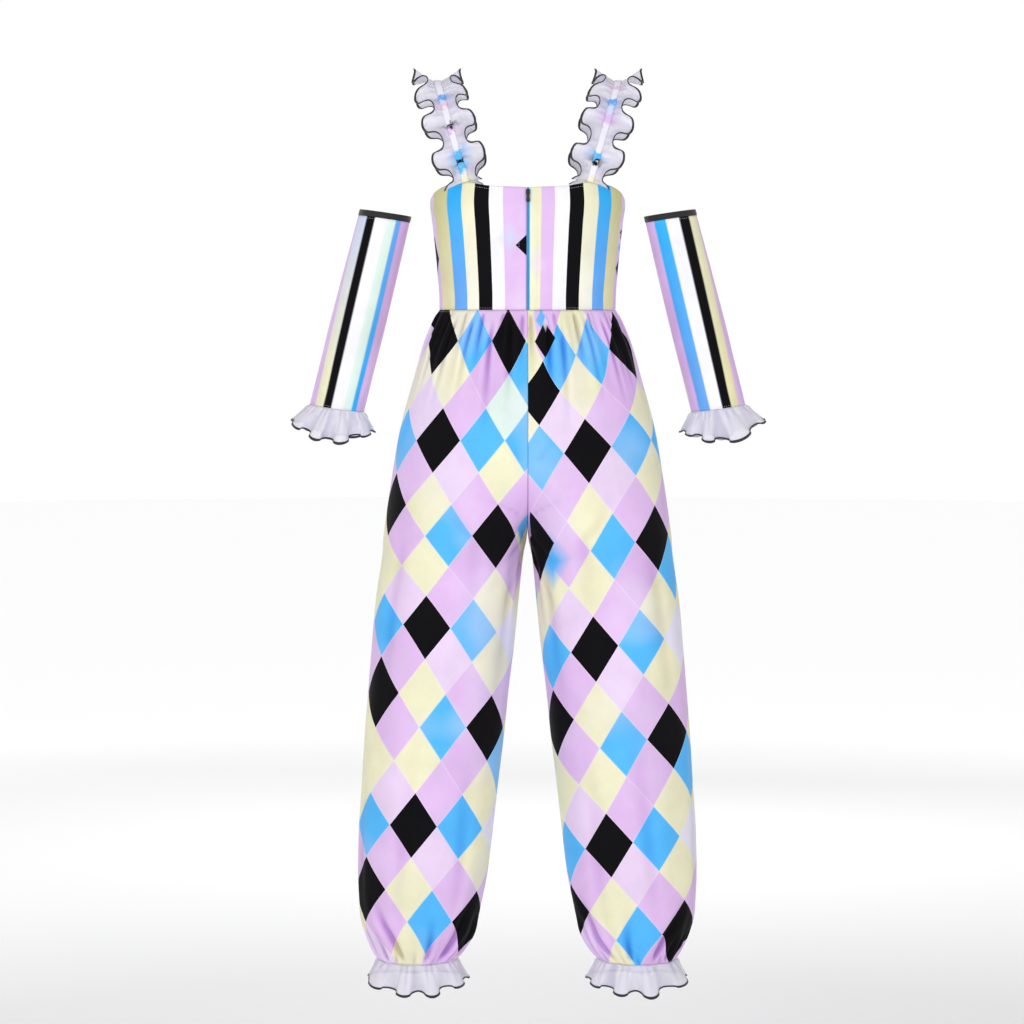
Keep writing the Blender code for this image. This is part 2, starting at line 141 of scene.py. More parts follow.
class Shade(Enum):
    """The dyes of the print and of the trims, as they look in plain light; a few are painted shade, as
    marked.
    """

    LILAC = "e2bfee"
    DEEP_LILAC = "deb9eb"
    PALE_LILAC = "ead3f2"
    SNOW_LILAC = "ebe6f7"
    CREAM = "efecca"
    PALE_CREAM = "f3f1e2"
    # Painted shade in part: straw darkened to khaki, at the top of the yellow stripe by the back's side
    # seams, where the bodice turns away
    SIDE_SHADED_STRAW = "d2cf99"
    PALE_STRAW = "e6e1b4"
    SKY = "56bbfd"
    BRIGHT_SKY = "33b4fb"
    CORNFLOWER = "6aabf3"
    INK = "08060a"
    MILK = "f4f3fa"
    # Painted shade: the next two dim the satin's creases and gathers, and the organza's bays and pleats
    FOLD_SHADOW = "d6cde0"
    VEIL_FOLD_SHADOW = "d3d0e0"
    MINT = "e0f2ea"
    MINT_GREEN = "def1e8"
    HAZE = "d3dcf5"
    ROSE = "efc3e3"
    ORGANZA = "f4f2fb"
    VEIL = "f0eef7"
    HEM = "232228"
    THREAD = "efe6f3"
    ZIP_BLUE = "2e9fd8"
    ENAMEL = "101014"
    BARE_ZINC = "9c9ca3"
    PAPER = "fbfbfc"

    @property
    def linear(self) -> tuple[float, float, float, float]:
        """Return the dye as a linear colour with full alpha."""
        return self.dimmed(1.0)

    def dimmed(self, share: float) -> tuple[float, float, float, float]:
        """Return the linear colour times a share, darker under 1 and paler over it."""
        channels = [int(self.value[n : n + 2], 16) / 255 for n in (0, 2, 4)]
        knee = 0.04045
        spread = [c / 12.92 if c <= knee else ((c + 0.055) / 1.055) ** 2.4 for c in channels]
        return (*(channel * share for channel in spread), 1.0)


class TorsoSection(NamedTuple):
    """A level ring of the bodice or of the trousers above the fork."""

    z: float
    half_width: float
    back_depth: float
    front_depth: float


class LegSection(NamedTuple):
    """A level ring of a leg."""

    z: float
    centre_x: float
    half_width: float
    half_depth: float


class SleeveSection(NamedTuple):
    """A ring of a sleeve, share of the way down it."""

    share: float
    half_width: float
    half_depth: float


class EdgePoint(NamedTuple):
    """A point of the bodice's top edge, u from the centre line to the side seam."""

    u: float
    z: float


class Gather(NamedTuple):
    """Half the height of the gathers' folds at a level."""

    z: float
    fold_shadow: float


class Flare(NamedTuple):
    """A ruffle's hem beside the seam that it hangs from."""

    wider: float
    deeper: float
    drop_at_side: float
    drop_at_middle: float
    wave: float
    hem_sway: float


class PrintRow(NamedTuple):
    """A row of the diamond print on one leg, as the eye sees it on the garment's middle plane."""

    z: float
    row: float
    x: float
    pitch: float
    tilt: float


class Crease(NamedTuple):
    """A soft crease pressed into a cloth, from its deeper end to where it fades out."""

    u: float
    z: float
    end_u: float
    end_z: float
    width: float
    end_width: float
    depth: float


class StripeEdge(NamedTuple):
    """Where a stripe of the print starts, and its dye at the top and at the foot of the panel."""

    start: float
    top: Shade
    foot: Shade


class Lozenge(NamedTuple):
    """A diamond printed over the stripes. Softness is the share of it that fades out."""

    across: float
    z: float
    half_across: float
    half_height: float
    shade: Shade
    softness: float
    strength: float


class OddDiamond(NamedTuple):
    """A diamond whose dye breaks the print's repeat."""

    across: int
    down: int
    shade: Shade


def rows_of(kind: type, *rows: tuple) -> tuple:
    """Return a table: its rows made into one kind of named tuple."""
    return tuple(kind(*row) for row in rows)


def stripes(*rows: tuple) -> tuple[StripeEdge, ...]:
    """Return stripes from rows of a start and one dye, or a start and the dyes at the top and the foot."""
    return tuple(StripeEdge(start, shades[0], shades[-1]) for start, *shades in rows)


BODICE = rows_of(
    TorsoSection,
    (-0.15, 0.142, 0.097, 0.099), (-0.1806, 0.1452, 0.0995, 0.105), (-0.2162, 0.1412, 0.1, 0.108),
    (-0.2638, 0.1362, 0.0965, 0.1), (-0.3114, 0.1322, 0.091, 0.092), (-0.3377, 0.1316, 0.089, 0.0895),
)

TROUSERS = rows_of(
    TorsoSection,
    (-0.338, 0.1318, 0.0892, 0.0897), (-0.3472, 0.1369, 0.094, 0.094), (-0.3591, 0.1422, 0.099, 0.0985),
    (-0.3905, 0.1557, 0.108, 0.106), (-0.4354, 0.1693, 0.119, 0.115), (-0.4803, 0.1822, 0.127, 0.12),
    (-0.5254, 0.193, 0.132, 0.123), (-0.5931, 0.2044, 0.132, 0.124), (-0.661, 0.2145, 0.126, 0.12),
    (-0.6836, 0.2172, 0.122, 0.118),
)

LEG = rows_of(
    LegSection,
    (-0.52, 0.098, 0.097, 0.125), (-0.679, 0.109, 0.1076, 0.119), (-0.7063, 0.1127, 0.1058, 0.116),
    (-0.7745, 0.1211, 0.1075, 0.112), (-0.8429, 0.1276, 0.1072, 0.108), (-0.9114, 0.1346, 0.1059, 0.103),
    (-0.9802, 0.1409, 0.1053, 0.098), (-1.0491, 0.1472, 0.1032, 0.094), (-1.1182, 0.1534, 0.1018, 0.091),
    (-1.1876, 0.1585, 0.0985, 0.087), (-1.2339, 0.1622, 0.0937, 0.082), (-1.2571, 0.1638, 0.0907, 0.078),
    (-1.2803, 0.1631, 0.0845, 0.07), (-1.3035, 0.1645, 0.0732, 0.059), (-1.3225, 0.1678, 0.0603, 0.05),
)

SLEEVE = rows_of(
    SleeveSection,
    (0.0, 0.0384, 0.04), (0.5, 0.0408, 0.043), (1.0, 0.0408, 0.041),
)

TOP_EDGE = rows_of(
    EdgePoint,
    (0.00, -0.1595), (0.25, -0.157), (0.44, -0.1515), (0.62, -0.155), (0.8, -0.164), (0.9, -0.172),
    (1.00, -0.177),
)

GATHERS = rows_of(
    Gather,
    (-0.338, 0.0004), (-0.3472, 0.0018), (-0.3591, 0.0022), (-0.38, 0.0019), (-0.413, 0.0011),
    (-0.458, 0.0004), (-0.5, 0.0), (-1.2, 0.0), (-1.245, 0.0007), (-1.27, 0.0015), (-1.295, 0.0022),
    (-1.312, 0.002), (-1.3225, 0.0008),
)

PRINT_ROWS = {
    Side.LEFT: rows_of(
        PrintRow,
        (-0.3323, -10.06, -0.0966, 0.0225, 0.0), (-0.3845, -9.00, -0.1044, 0.0255, 0.0),
        (-0.4548, -7.6, -0.1207, 0.0307, 0.0), (-0.5338, -6.00, -0.1349, 0.0336, 0.0),
        (-0.6776, -3.00, -0.1543, 0.0355, 0.0), (-0.8146, 0.00, -0.1521, 0.0355, -0.003),
        (-0.9687, 3.00, -0.1634, 0.0354, 0.0), (-1.1195, 6.00, -0.1732, 0.0357, -0.0015),
        (-1.2679, 9.00, -0.1833, 0.0343, 0.0), (-1.3112, 9.85, -0.1819, 0.027, 0.0),
        (-1.336, 10.3, -0.1789, 0.024, 0.0), (-1.36, 10.75, -0.177, 0.024, 0.0),
    ),
    Side.RIGHT: rows_of(
        PrintRow,
        (-0.3323, -10.4, 0.0634, 0.021, 0.0045), (-0.4054, -9.00, 0.0726, 0.0249, 0.0045),
        (-0.4548, -8.00, 0.0801, 0.0315, 0.0045), (-0.5479, -6.00, 0.0904, 0.0354, 0.0051),
        (-0.7003, -3.00, 0.095, 0.0339, 0.0067), (-0.8491, 0.00, 0.1015, 0.0357, 0.0053),
        (-1.0005, 3.00, 0.1098, 0.036, 0.0066), (-1.1501, 6.00, 0.1243, 0.036, 0.0048),
        (-1.2965, 9.00, 0.1352, 0.0353, 0.0045), (-1.3267, 9.6, 0.1414, 0.027, 0.003),
        (-1.35, 10.1, 0.1461, 0.024, 0.003),
    ),
}

# The diamonds' repeat: six rows of four, each row from the place -4 or -3 on, every second place
DIAMOND_ROWS = (
    (Shade.SNOW_LILAC, Shade.SKY, Shade.INK, Shade.SKY),
    (Shade.LILAC, Shade.LILAC, Shade.PALE_LILAC, Shade.CREAM),
    (Shade.LILAC, Shade.INK, Shade.CREAM, Shade.LILAC),
    (Shade.CREAM, Shade.LILAC, Shade.SKY, Shade.INK),
    (Shade.SKY, Shade.CREAM, Shade.CREAM, Shade.DEEP_LILAC),
    (Shade.CREAM, Shade.PALE_LILAC, Shade.LILAC, Shade.CREAM),
)

ODD_DIAMONDS = {
    Side.LEFT: rows_of(
        OddDiamond,
        (-1, -9, Shade.INK), (-3, -9, Shade.PALE_LILAC), (4, -6, Shade.SKY), (4, -2, Shade.LILAC),
        (4, 10, Shade.LILAC), (-2, 10, Shade.PALE_LILAC), (3, -7, Shade.MINT),
    ),
    Side.RIGHT: rows_of(
        OddDiamond,
        (-1, -9, Shade.SKY), (-2, -10, Shade.LILAC), (-3, -3, Shade.LILAC), (-2, -4, Shade.LILAC),
        (4, 10, Shade.LILAC), (4, -8, Shade.PALE_LILAC), (5, -9, Shade.LILAC), (-2, -8, Shade.INK),
        (-3, -9, Shade.CREAM), (-3, -11, Shade.CREAM), (4, -6, Shade.SKY),
    ),
}

# Small pieces of print caught in the centre seam, in half diamonds
CAUGHT_PRINT = {
    Side.LEFT: rows_of(Lozenge, (4.45, -3.25, 0.5, 0.55, Shade.SKY, 0.3, 0.95)),
    Side.RIGHT: rows_of(
        Lozenge,
        (-2.7, -9.75, 0.34, 1.3, Shade.CREAM, 0.25, 1.0), (-2.06, -10.2, 0.46, 0.31, Shade.SKY, 0.3, 0.9),
        (-1.85, -9.6, 0.68, 0.53, Shade.INK, 0.03, 1.0),
        (-1.78, -10.05, 0.22, 0.28, Shade.MILK, 0.5, 0.9),
        (-1.74, -2.9, 0.98, 0.98, Shade.SKY, 0.75, 1.0), (-2.6, -3.45, 1.02, 1.05, Shade.INK, 0.03, 1.0),
    ),
}

# Next to each side seam of the back, the yellow stripe's top is darker than on the front: real straw dye
# with painted shade where the bodice turns away
BODICE_BACK_STRIPES = {
    Side.LEFT: stripes(
        (0.0, Shade.LILAC), (0.25, Shade.MILK), (0.39, Shade.INK), (0.54, Shade.CREAM, Shade.PALE_CREAM),
        (0.675, Shade.BRIGHT_SKY, Shade.CORNFLOWER), (0.816, Shade.SIDE_SHADED_STRAW, Shade.PALE_STRAW),
        (0.985, Shade.PALE_LILAC, Shade.LILAC),
    ),
    Side.RIGHT: stripes(
        (0.0, Shade.MINT), (0.04, Shade.CREAM), (0.135, Shade.LILAC), (0.27, Shade.MILK),
        (0.42, Shade.INK), (0.565, Shade.CREAM, Shade.PALE_CREAM),
        (0.715, Shade.BRIGHT_SKY, Shade.CORNFLOWER), (0.845, Shade.SIDE_SHADED_STRAW, Shade.PALE_STRAW),
        (0.985, Shade.PALE_LILAC, Shade.LILAC),
    ),
}

BODICE_LOZENGES = {
    Side.LEFT: rows_of(
        Lozenge,
        (0.0, -0.2437, 0.132, 0.0175, Shade.INK, 0.0, 1.0),
        (1.17, -0.262, 0.175, 0.056, Shade.INK, 0.0, 1.0),
    ),
    Side.RIGHT: rows_of(
        Lozenge,
        (1.17, -0.223, 0.165, 0.018, Shade.INK, 0.0, 1.0),
        (1.17, -0.246, 0.17, 0.013, Shade.SKY, 0.0, 1.0),
        (1.17, -0.276, 0.175, 0.03, Shade.INK, 0.0, 1.0),
    ),
}

BODICE_HAZES = {
    Side.LEFT: rows_of(
        Lozenge,
        (0.19, -0.233, 0.16, 0.033, Shade.HAZE, 0.9, 0.8),
        (0.1, -0.325, 0.22, 0.04, Shade.PALE_LILAC, 0.9, 0.8),
    ),
    Side.RIGHT: rows_of(Lozenge, (0.1, -0.27, 0.12, 0.035, Shade.PALE_LILAC, 0.9, 0.6)),
}

# The front's stripes, from its centre line to the side seam; both halves mirror them
BODICE_FRONT_STRIPES = stripes(
    (0.0, Shade.LILAC), (0.135, Shade.MILK), (0.275, Shade.INK), (0.42, Shade.CREAM, Shade.PALE_CREAM),
    (0.56, Shade.BRIGHT_SKY, Shade.CORNFLOWER), (0.7, Shade.CREAM, Shade.PALE_STRAW), (0.85, Shade.MILK),
    (0.985, Shade.PALE_LILAC, Shade.LILAC),
)

SLEEVE_STRIPES = {
    Side.LEFT: stripes(
        (-2.6, Shade.MILK), (-2.1, Shade.INK), (-1.75, Shade.CREAM), (-1.6, Shade.SKY, Shade.CORNFLOWER),
        (-1.35, Shade.LILAC), (-0.874, Shade.HAZE, Shade.CREAM), (-0.557, Shade.INK),
        (-0.243, Shade.MILK), (0.205, Shade.MINT_GREEN), (0.51, Shade.CORNFLOWER, Shade.BRIGHT_SKY),
        (0.69, Shade.DEEP_LILAC, Shade.LILAC), (1.15, Shade.CREAM), (1.5, Shade.INK), (1.85, Shade.MILK),
        (2.3, Shade.MINT_GREEN),
    ),
    Side.RIGHT: stripes(
        (-2.6, Shade.MINT_GREEN), (-2.2, Shade.MILK), (-1.8, Shade.INK), (-1.45, Shade.CREAM),
        (-1.1, Shade.LILAC, Shade.DEEP_LILAC), (-0.725, Shade.BRIGHT_SKY, Shade.CORNFLOWER),
        (-0.315, Shade.MILK), (0.165, Shade.INK), (0.537, Shade.CREAM, Shade.PALE_STRAW),
        (0.845, Shade.LILAC), (1.2, Shade.SKY, Shade.CORNFLOWER), (1.55, Shade.MILK), (1.95, Shade.INK),
        (2.3, Shade.CREAM),
    ),
}

# How a sleeve's stripes lie across its visible half at the top and at the foot: slope and shift
SLEEVE_LIE = {
    Side.LEFT: ((0.939, 0.032), (1.04, -0.083)),
    Side.RIGHT: ((0.923, -0.0585), (1.086, 0.07)),
}

# The pieces of print on a strap, from the crest of the shoulder to the bodice
STRAP_PRINT = {
    Side.LEFT: stripes(
        (0.0, Shade.VEIL), (0.375, Shade.CORNFLOWER), (0.425, Shade.HAZE), (0.45, Shade.ROSE),
        (0.49, Shade.VEIL), (0.625, Shade.INK), (0.655, Shade.LILAC), (0.685, Shade.VEIL),
        (0.805, Shade.SKY), (0.865, Shade.INK), (0.89, Shade.SKY), (0.93, Shade.VEIL),
        (0.965, Shade.CREAM),
    ),
    Side.RIGHT: stripes(
        (0.0, Shade.VEIL), (0.25, Shade.ROSE), (0.285, Shade.VEIL), (0.41, Shade.CORNFLOWER),
        (0.47, Shade.HAZE), (0.545, Shade.LILAC), (0.63, Shade.VEIL), (0.82, Shade.SKY),
        (0.865, Shade.INK), (0.885, Shade.VEIL), (0.97, Shade.CREAM),
    ),
}


def at(table: Sequence[tuple], key: float) -> list[float]:
    """Read a table at one value of its first column, on a smooth curve through the rows.

    Args:
        table: Rows whose first column only rises or only falls.
        key: The value of the first column.

    Returns:
        The other columns.
    """
    keys = [row[0] for row in table]
    key = min(max(key, min(keys)), max(keys))
    last = len(table) - 1
    i = next(n for n in range(last) if (key - keys[n]) * (key - keys[n + 1]) <= 0)
    step = keys[i + 1] - keys[i]
    share = (key - keys[i]) / step

    def slope(n: int, column: int) -> float:
        """Return the curve's slope at row n."""
        before, after = max(n - 1, 0), min(n + 1, last)
        return (table[after][column] - table[before][column]) / (keys[after] - keys[before])

    def value(column: int) -> float:
        """Return one column at the key."""
        start, end = table[i][column], table[i + 1][column]
        straight = (end - start) * (3 - 2 * share) * share * share + start
        lead = step * slope(i, column) * share * (1 - share) ** 2
        trail = step * slope(i + 1, column) * share * share * (1 - share)
        return straight + lead - trail

    return [value(column) for column in range(1, len(table[0]))]


@lru_cache(maxsize=None)
def torso_at(table: tuple, z: float) -> tuple[float, ...]:
    """Return a torso table's columns at a level, kept for the rest of the row."""
    return tuple(at(table, z))


def mix(start: float, end: float, share: float) -> float:
    """Return the value a share of the way from start to end."""
    return start + (end - start) * share


def ease(share: float) -> float:
    """Return a share from 0 to 1 with a soft start and a soft end."""
    share = min(max(share, 0.0), 1.0)
    return share * share * (3 - 2 * share)


def sway(turns: float, shift: float = 0.0) -> float:
    """Return a wave from -1 to 1 after a number of full turns, with its start shifted by an angle."""
    return math.sin(math.tau * turns + shift)


def pleats_at(phase: float, pace: float, drag: float, shift: float) -> float:
    """Return fine uneven pleats from -1 to 1, pace of them to a wave and dragged towards its bays."""
    return math.cos(pace * phase + drag * math.sin(phase) + shift)


def arc_share(turn: float) -> float:
    """Return how far round a torso or sleeve a turn from the centre line lies, in half widths of cloth.

    Up to PRINT_TURN the print lies as seen from straight behind; past it the cloth isn't stretched further.
    """
    size = abs(turn)
    seen = math.sin(min(size, PRINT_TURN)) + max(size - PRINT_TURN, 0.0) * math.cos(PRINT_TURN)
    return math.copysign(seen, turn)


# Materials

NOISE_RANGE = (0.3, 0.7)


class Nodes:
    """A material's nodes, made and joined by short calls."""

    def __init__(self, name: str) -> None:
        """Start a material with one principled shader."""
        self.material = bpy.data.materials.new(name)
        self.material.use_nodes = True
        self.tree = self.material.node_tree
        self.tree.nodes.clear()
        self.shader = self.tree.nodes.new("ShaderNodeBsdfPrincipled")
        output = self.tree.nodes.new("ShaderNodeOutputMaterial")
        self.tree.links.new(self.shader.outputs[0], output.inputs[0])

    def add(self, kind: str, **settings: object) -> bpy.types.Node:
        """Make a node and give it its settings."""
        node = self.tree.nodes.new(kind)
        for key, value in settings.items():
            setattr(node, key, value)
        return node

    def feed(self, socket: Socket, value: object) -> None:
        """Link a socket, or set it where the value is a number or a colour."""
        if isinstance(value, Socket):
            self.tree.links.new(value, socket)
        else:
            socket.default_value = value

    def set(self, **sockets: object) -> None:
        """Feed the shader's sockets; an underscore stands for a space in their names."""
        for key, value in sockets.items():
            self.feed(self.shader.inputs[key.replace("_", " ")], value)

    def calc(self, operation: str, *values: object, clamp: bool = False) -> Socket:
        """Return the result of a Math node."""
        node = self.add("ShaderNodeMath", operation=operation, use_clamp=clamp)
        for socket, value in zip(node.inputs, values):
            self.feed(socket, value)
        return node.outputs[0]

    def blend(self, share: object, first: object, second: object, kind: str = "MIX") -> Socket:
        """Return two colours blended by a share."""
        node = self.add("ShaderNodeMix", data_type="RGBA", blend_type=kind)
        self.feed(node.inputs[0], share)
        self.feed(node.inputs[6], first)
        self.feed(node.inputs[7], second)
        return node.outputs[2]

    def two_tone(self, noise: object, shade: Shade, dim: float) -> Socket:
        """Return a shade, dimmed where a noise is low and itself where it is high."""
        return self.blend(self.swing(noise, 0.0, 1.0), shade.dimmed(dim), shade.linear)

    def grain(self, place: object, scale: float, detail: float = 2.0, rough: float = 0.5) -> Socket:
        """Return a noise from 0 to 1 at a place."""
        node = self.add("ShaderNodeTexNoise")
        self.feed(node.inputs["Vector"], place)
        self.feed(node.inputs["Scale"], scale)
        self.feed(node.inputs["Detail"], detail)
        self.feed(node.inputs["Roughness"], rough)
        return node.outputs[0]

    def span(self, value: object, low: float, high: float, to_low: float, to_high: float) -> Socket:
        """Return a value carried from one range to another, clamped."""
        node = self.add("ShaderNodeMapRange", clamp=True)
        for socket, number in zip(node.inputs, (value, low, high, to_low, to_high)):
            self.feed(socket, number)
        return node.outputs[0]

    def swing(self, noise: object, to_low: float, to_high: float) -> Socket:
        """Return a noise carried from the range that it keeps to, most of the time, to another."""
        return self.span(noise, *NOISE_RANGE, to_low, to_high)

    def place(self) -> Socket:
        """Return the object coordinates."""
        return self.add("ShaderNodeTexCoord").outputs["Object"]

    def stretched_place(self, scale: tuple[float, float, float]) -> Socket:
        """Return the object coordinates, scaled along each axis."""
        node = self.add("ShaderNodeMapping")
        self.feed(node.inputs["Vector"], self.place())
        self.feed(node.inputs["Scale"], scale)
        return node.outputs[0]

    def parts(self, vector: Socket) -> list[Socket]:
        """Return a vector's three numbers."""
        node = self.add("ShaderNodeSeparateXYZ")
        self.feed(node.inputs[0], vector)
        return list(node.outputs)

    def channels(self, dye: Socket) -> list[Socket]:
        """Return a dye's red, green and blue."""
        node = self.add("ShaderNodeSeparateColor")
        self.feed(node.inputs[0], dye)
        return list(node.outputs)

    def print_place(self) -> list[Socket]:
        """Return the two numbers of the print's own map."""
        return self.parts(self.add("ShaderNodeUVMap", uv_map=PRINT_MAP).outputs[0])[:2]

    def fold_shade_share(self) -> Socket:
        """Return how deep in a fold a place lies, from the cloth's own map, for the shade painted there."""
        return self.parts(self.add("ShaderNodeUVMap", uv_map=FOLD_SHADE_MAP).outputs[0])[0]

    def steps(self, value: object, stops: Sequence[tuple[float, Shade]], soft: float = 0.0) -> Socket:
        """Return the dye of the last stop that a value from 0 to 1 has passed.

        Args:
            value: The value.
            stops: Where each dye starts.
            soft: How far on each side of a stop its dye runs into the one before.

        Returns:
            The dye.
        """
        ramp = self.add("ShaderNodeValToRGB")
        ramp.color_ramp.interpolation = "EASE" if soft else "CONSTANT"
        elements = ramp.color_ramp.elements
        elements.remove(elements[1])
        elements[0].position, elements[0].color = 0.0, stops[0][1].linear
        for (_, before), (stop, shade) in zip(stops, stops[1:]):
            if soft:
                elements.new(stop - soft).color = before.linear
            elements.new(stop + soft).color = shade.linear
        self.feed(ramp.inputs[0], value)
        return ramp.outputs[0]

    def printed_over(
        self, dye: Socket, spot: Sequence[Socket], lozenge: Lozenge
    ) -> Socket:
        """Print one lozenge over a dye.

        Args:
            dye: The colour under the lozenge.
            spot: The places across and down the cloth, in the lozenge's units.
            lozenge: The lozenge.

        Returns:
            The colour with the lozenge on it.
        """
        aside = self.calc("ABSOLUTE", self.calc("SUBTRACT", spot[0], lozenge.across))
        along = self.calc("ABSOLUTE", self.calc("SUBTRACT", spot[1], lozenge.z))
        aside = self.calc("DIVIDE", aside, lozenge.half_across)
        along = self.calc("DIVIDE", along, lozenge.half_height)
        edge = max(lozenge.softness, 0.02)
        share = self.span(self.calc("ADD", aside, along), 1.0 - edge, 1.0, lozenge.strength, 0.0)
        return self.blend(share, dye, lozenge.shade.linear)

    def relief(self, height: object, distance: float, strength: float = 1.0) -> Socket:
        """Return the normal of a height in metres times distance."""
        bump = self.add("ShaderNodeBump")
        self.feed(bump.inputs["Height"], height)
        self.feed(bump.inputs["Distance"], distance)
        self.feed(bump.inputs["Strength"], strength)
        return bump.outputs[0]


@dataclass(frozen=True)
class Finish:
    """A named finish; each kind of it dresses the shader in its own way."""

    name: str

    def material(self) -> Material:
        """Make the material."""
        nodes = Nodes(self.name)
        self.dress(nodes)
        return nodes.material

    def dress(self, nodes: Nodes) -> None:
        """Feed the shader's sockets."""
        raise NotImplementedError


@dataclass(frozen=True)
class SatinHand:
    """How the satin takes light: its gloss, its bloom and its threads."""

    roughness: float = 0.48
    sheen: float = 0.05
    sheen_roughness: float = 0.35
    ink_roughness: float = 0.34
    gloss: float = 0.13
    thread_scale: float = 900.0
    thread_stretch: tuple[float, float, float] = (1.0, 1.0, 0.22)
    thread_height: float = 0.00012
    mottle_scale: float = 16.0
    mottle: float = 0.055

    def finish(self, nodes: Nodes, dye: Socket) -> None:
        """Lay the satin's hand over a dye.

        Args:
            nodes: The material being made.
            dye: The colour of the print.
        """
        cloud = nodes.grain(nodes.place(), self.mottle_scale, 3.0, 0.55)
        lightness = nodes.swing(cloud, 1.0 - self.mottle, 1.0 + self.mottle)
        threads = nodes.grain(nodes.stretched_place(self.thread_stretch), self.thread_scale, 1.0)
        fleck = nodes.calc("MULTIPLY", lightness, nodes.span(threads, 0.25, 0.75, 0.985, 1.015))
        tone = nodes.add("ShaderNodeCombineColor")
        for socket in tone.inputs:
            nodes.feed(socket, fleck)
        matte = nodes.span(nodes.channels(dye)[1], 0.02, 0.12, self.ink_roughness, 0.0)
        rough = nodes.swing(cloud, self.roughness - 0.04, self.roughness + 0.05)
        nodes.set(
            Base_Color=nodes.blend(1.0, dye, tone.outputs[0], "MULTIPLY"),
            Roughness=nodes.calc("ADD", rough, matte),
            Specular_IOR_Level=self.gloss,
            Sheen_Weight=self.sheen,
            Sheen_Roughness=self.sheen_roughness,
            Normal=nodes.relief(threads, self.thread_height, 0.5),
        )


@dataclass(frozen=True)
class StripedSatin(Finish):
    """Satin with stripes along the cloth, with diamonds printed over them where it has any."""

    stripes: tuple[StripeEdge, ...]
    low: float = 0.0
    high: float = 1.2
    lozenges: tuple[Lozenge, ...] = ()
    mirrored: bool = False
    smudge: float = 0.0
    soft: float = 0.0
    hand: SatinHand = SatinHand()

    def dress(self, nodes: Nodes) -> None:
        """Feed the shader's sockets; the map holds the place across and the share of the way down."""
        across, down = nodes.print_place()
        if self.mirrored:
            across = nodes.calc("ABSOLUTE", across)
        if self.smudge:
            cloud = nodes.grain(nodes.place(), 150.0, 1.0)
            across = nodes.calc("ADD", across, nodes.swing(cloud, -self.smudge, self.smudge))
        spot = nodes.span(across, self.low, self.high, 0.0, 1.0)
        width = self.high - self.low
        places = [max((edge.start - self.low) / width, 0.0) for edge in self.stripes]
        tops, feet = [edge.top for edge in self.stripes], [edge.foot for edge in self.stripes]
        top = nodes.steps(spot, list(zip(places, tops)), self.soft)
        foot = nodes.steps(spot, list(zip(places, feet)), self.soft)
        dye = nodes.blend(nodes.span(down, 0.05, 0.85, 0.0, 1.0), top, foot)
        height = nodes.parts(nodes.place())[2]
        for lozenge in self.lozenges:
            dye = nodes.printed_over(dye, (across, height), lozenge)
        self.hand.finish(nodes, dye)


@dataclass(frozen=True)
class DiamondSatin(Finish):
    """Satin with the print of diamonds, and with shade painted into its creases and gathers; the map holds
    the places across and down, in half diamonds.
    """

    odd: tuple[OddDiamond, ...]
    caught: tuple[Lozenge, ...] = ()
    hand: SatinHand = SatinHand()
    line_width: float = 0.028
    line_strength: float = 0.3
    wash_scale: float = 9.0
    wash: float = 0.3
    fold_shade_strength: float = 0.74

    def dress(self, nodes: Nodes) -> None:
        """Feed the shader's sockets."""
        across, down = nodes.print_place()
        rising = nodes.calc("MULTIPLY", nodes.calc("ADD", across, down), 0.5)
        falling = nodes.calc("MULTIPLY", nodes.calc("SUBTRACT", across, down), 0.5)
        rising_place = nodes.calc("FLOOR", nodes.calc("ADD", rising, 0.5))
        falling_place = nodes.calc("FLOOR", nodes.calc("ADD", falling, 0.5))
        column = nodes.calc("ADD", rising_place, falling_place)
        row = nodes.calc("SUBTRACT", rising_place, falling_place)
        in_row = nodes.calc("FLOOR", nodes.calc("MULTIPLY", nodes.calc("ADD", column, 4.0), 0.5))
        in_row = nodes.calc("FLOORED_MODULO", in_row, 4.0)
        in_repeat = nodes.calc("FLOORED_MODULO", row, float(len(DIAMOND_ROWS)))
        number = nodes.calc("ADD", nodes.calc("MULTIPLY_ADD", in_repeat, 4.0, in_row), 0.5)
        shades = [shade for shade_row in DIAMOND_ROWS for shade in shade_row]
        spot = nodes.calc("DIVIDE", number, float(len(shades)))
        dye = nodes.steps(spot, [(n / len(shades), shade) for n, shade in enumerate(shades)])
        for diamond in self.odd:
            here = nodes.calc(
                "MULTIPLY",
                nodes.calc("COMPARE", column, float(diamond.across), 0.2),
                nodes.calc("COMPARE", row, float(diamond.down), 0.2),
            )
            dye = nodes.blend(here, dye, diamond.shade.linear)
        printed = nodes.calc("GREATER_THAN", nodes.channels(dye)[2], 0.2)
        cloud = nodes.grain(nodes.place(), self.wash_scale, 1.0)
        wash = nodes.calc("MULTIPLY", nodes.span(cloud, 0.48, 0.72, 0.0, self.wash), printed)
        dye = nodes.blend(wash, dye, Shade.SNOW_LILAC.linear)
        nearest = nodes.calc(
            "MAXIMUM",
            nodes.calc("ABSOLUTE", nodes.calc("SUBTRACT", rising, rising_place)),
            nodes.calc("ABSOLUTE", nodes.calc("SUBTRACT", falling, falling_place)),
        )
        line = nodes.span(nearest, 0.5 - self.line_width, 0.5, 0.0, self.line_strength)
        line = nodes.calc("MULTIPLY", line, printed)
        dye = nodes.blend(line, dye, Shade.MILK.linear)
        for lozenge in self.caught:
            dye = nodes.printed_over(dye, (across, down), lozenge)
        # Painted shade: where the cloth lies deep in a crease or a gather, the dye is deepened by itself
        # and dimmed
        deep = nodes.calc("MULTIPLY", nodes.calc("POWER", nodes.fold_shade_share(), 1.4), self.fold_shade_strength)
        fold_shadow_dye = nodes.blend(1.0, nodes.blend(1.0, dye, dye, "MULTIPLY"), Shade.FOLD_SHADOW.linear, "MULTIPLY")
        dye = nodes.blend(deep, dye, fold_shadow_dye)
        self.hand.finish(nodes, dye)


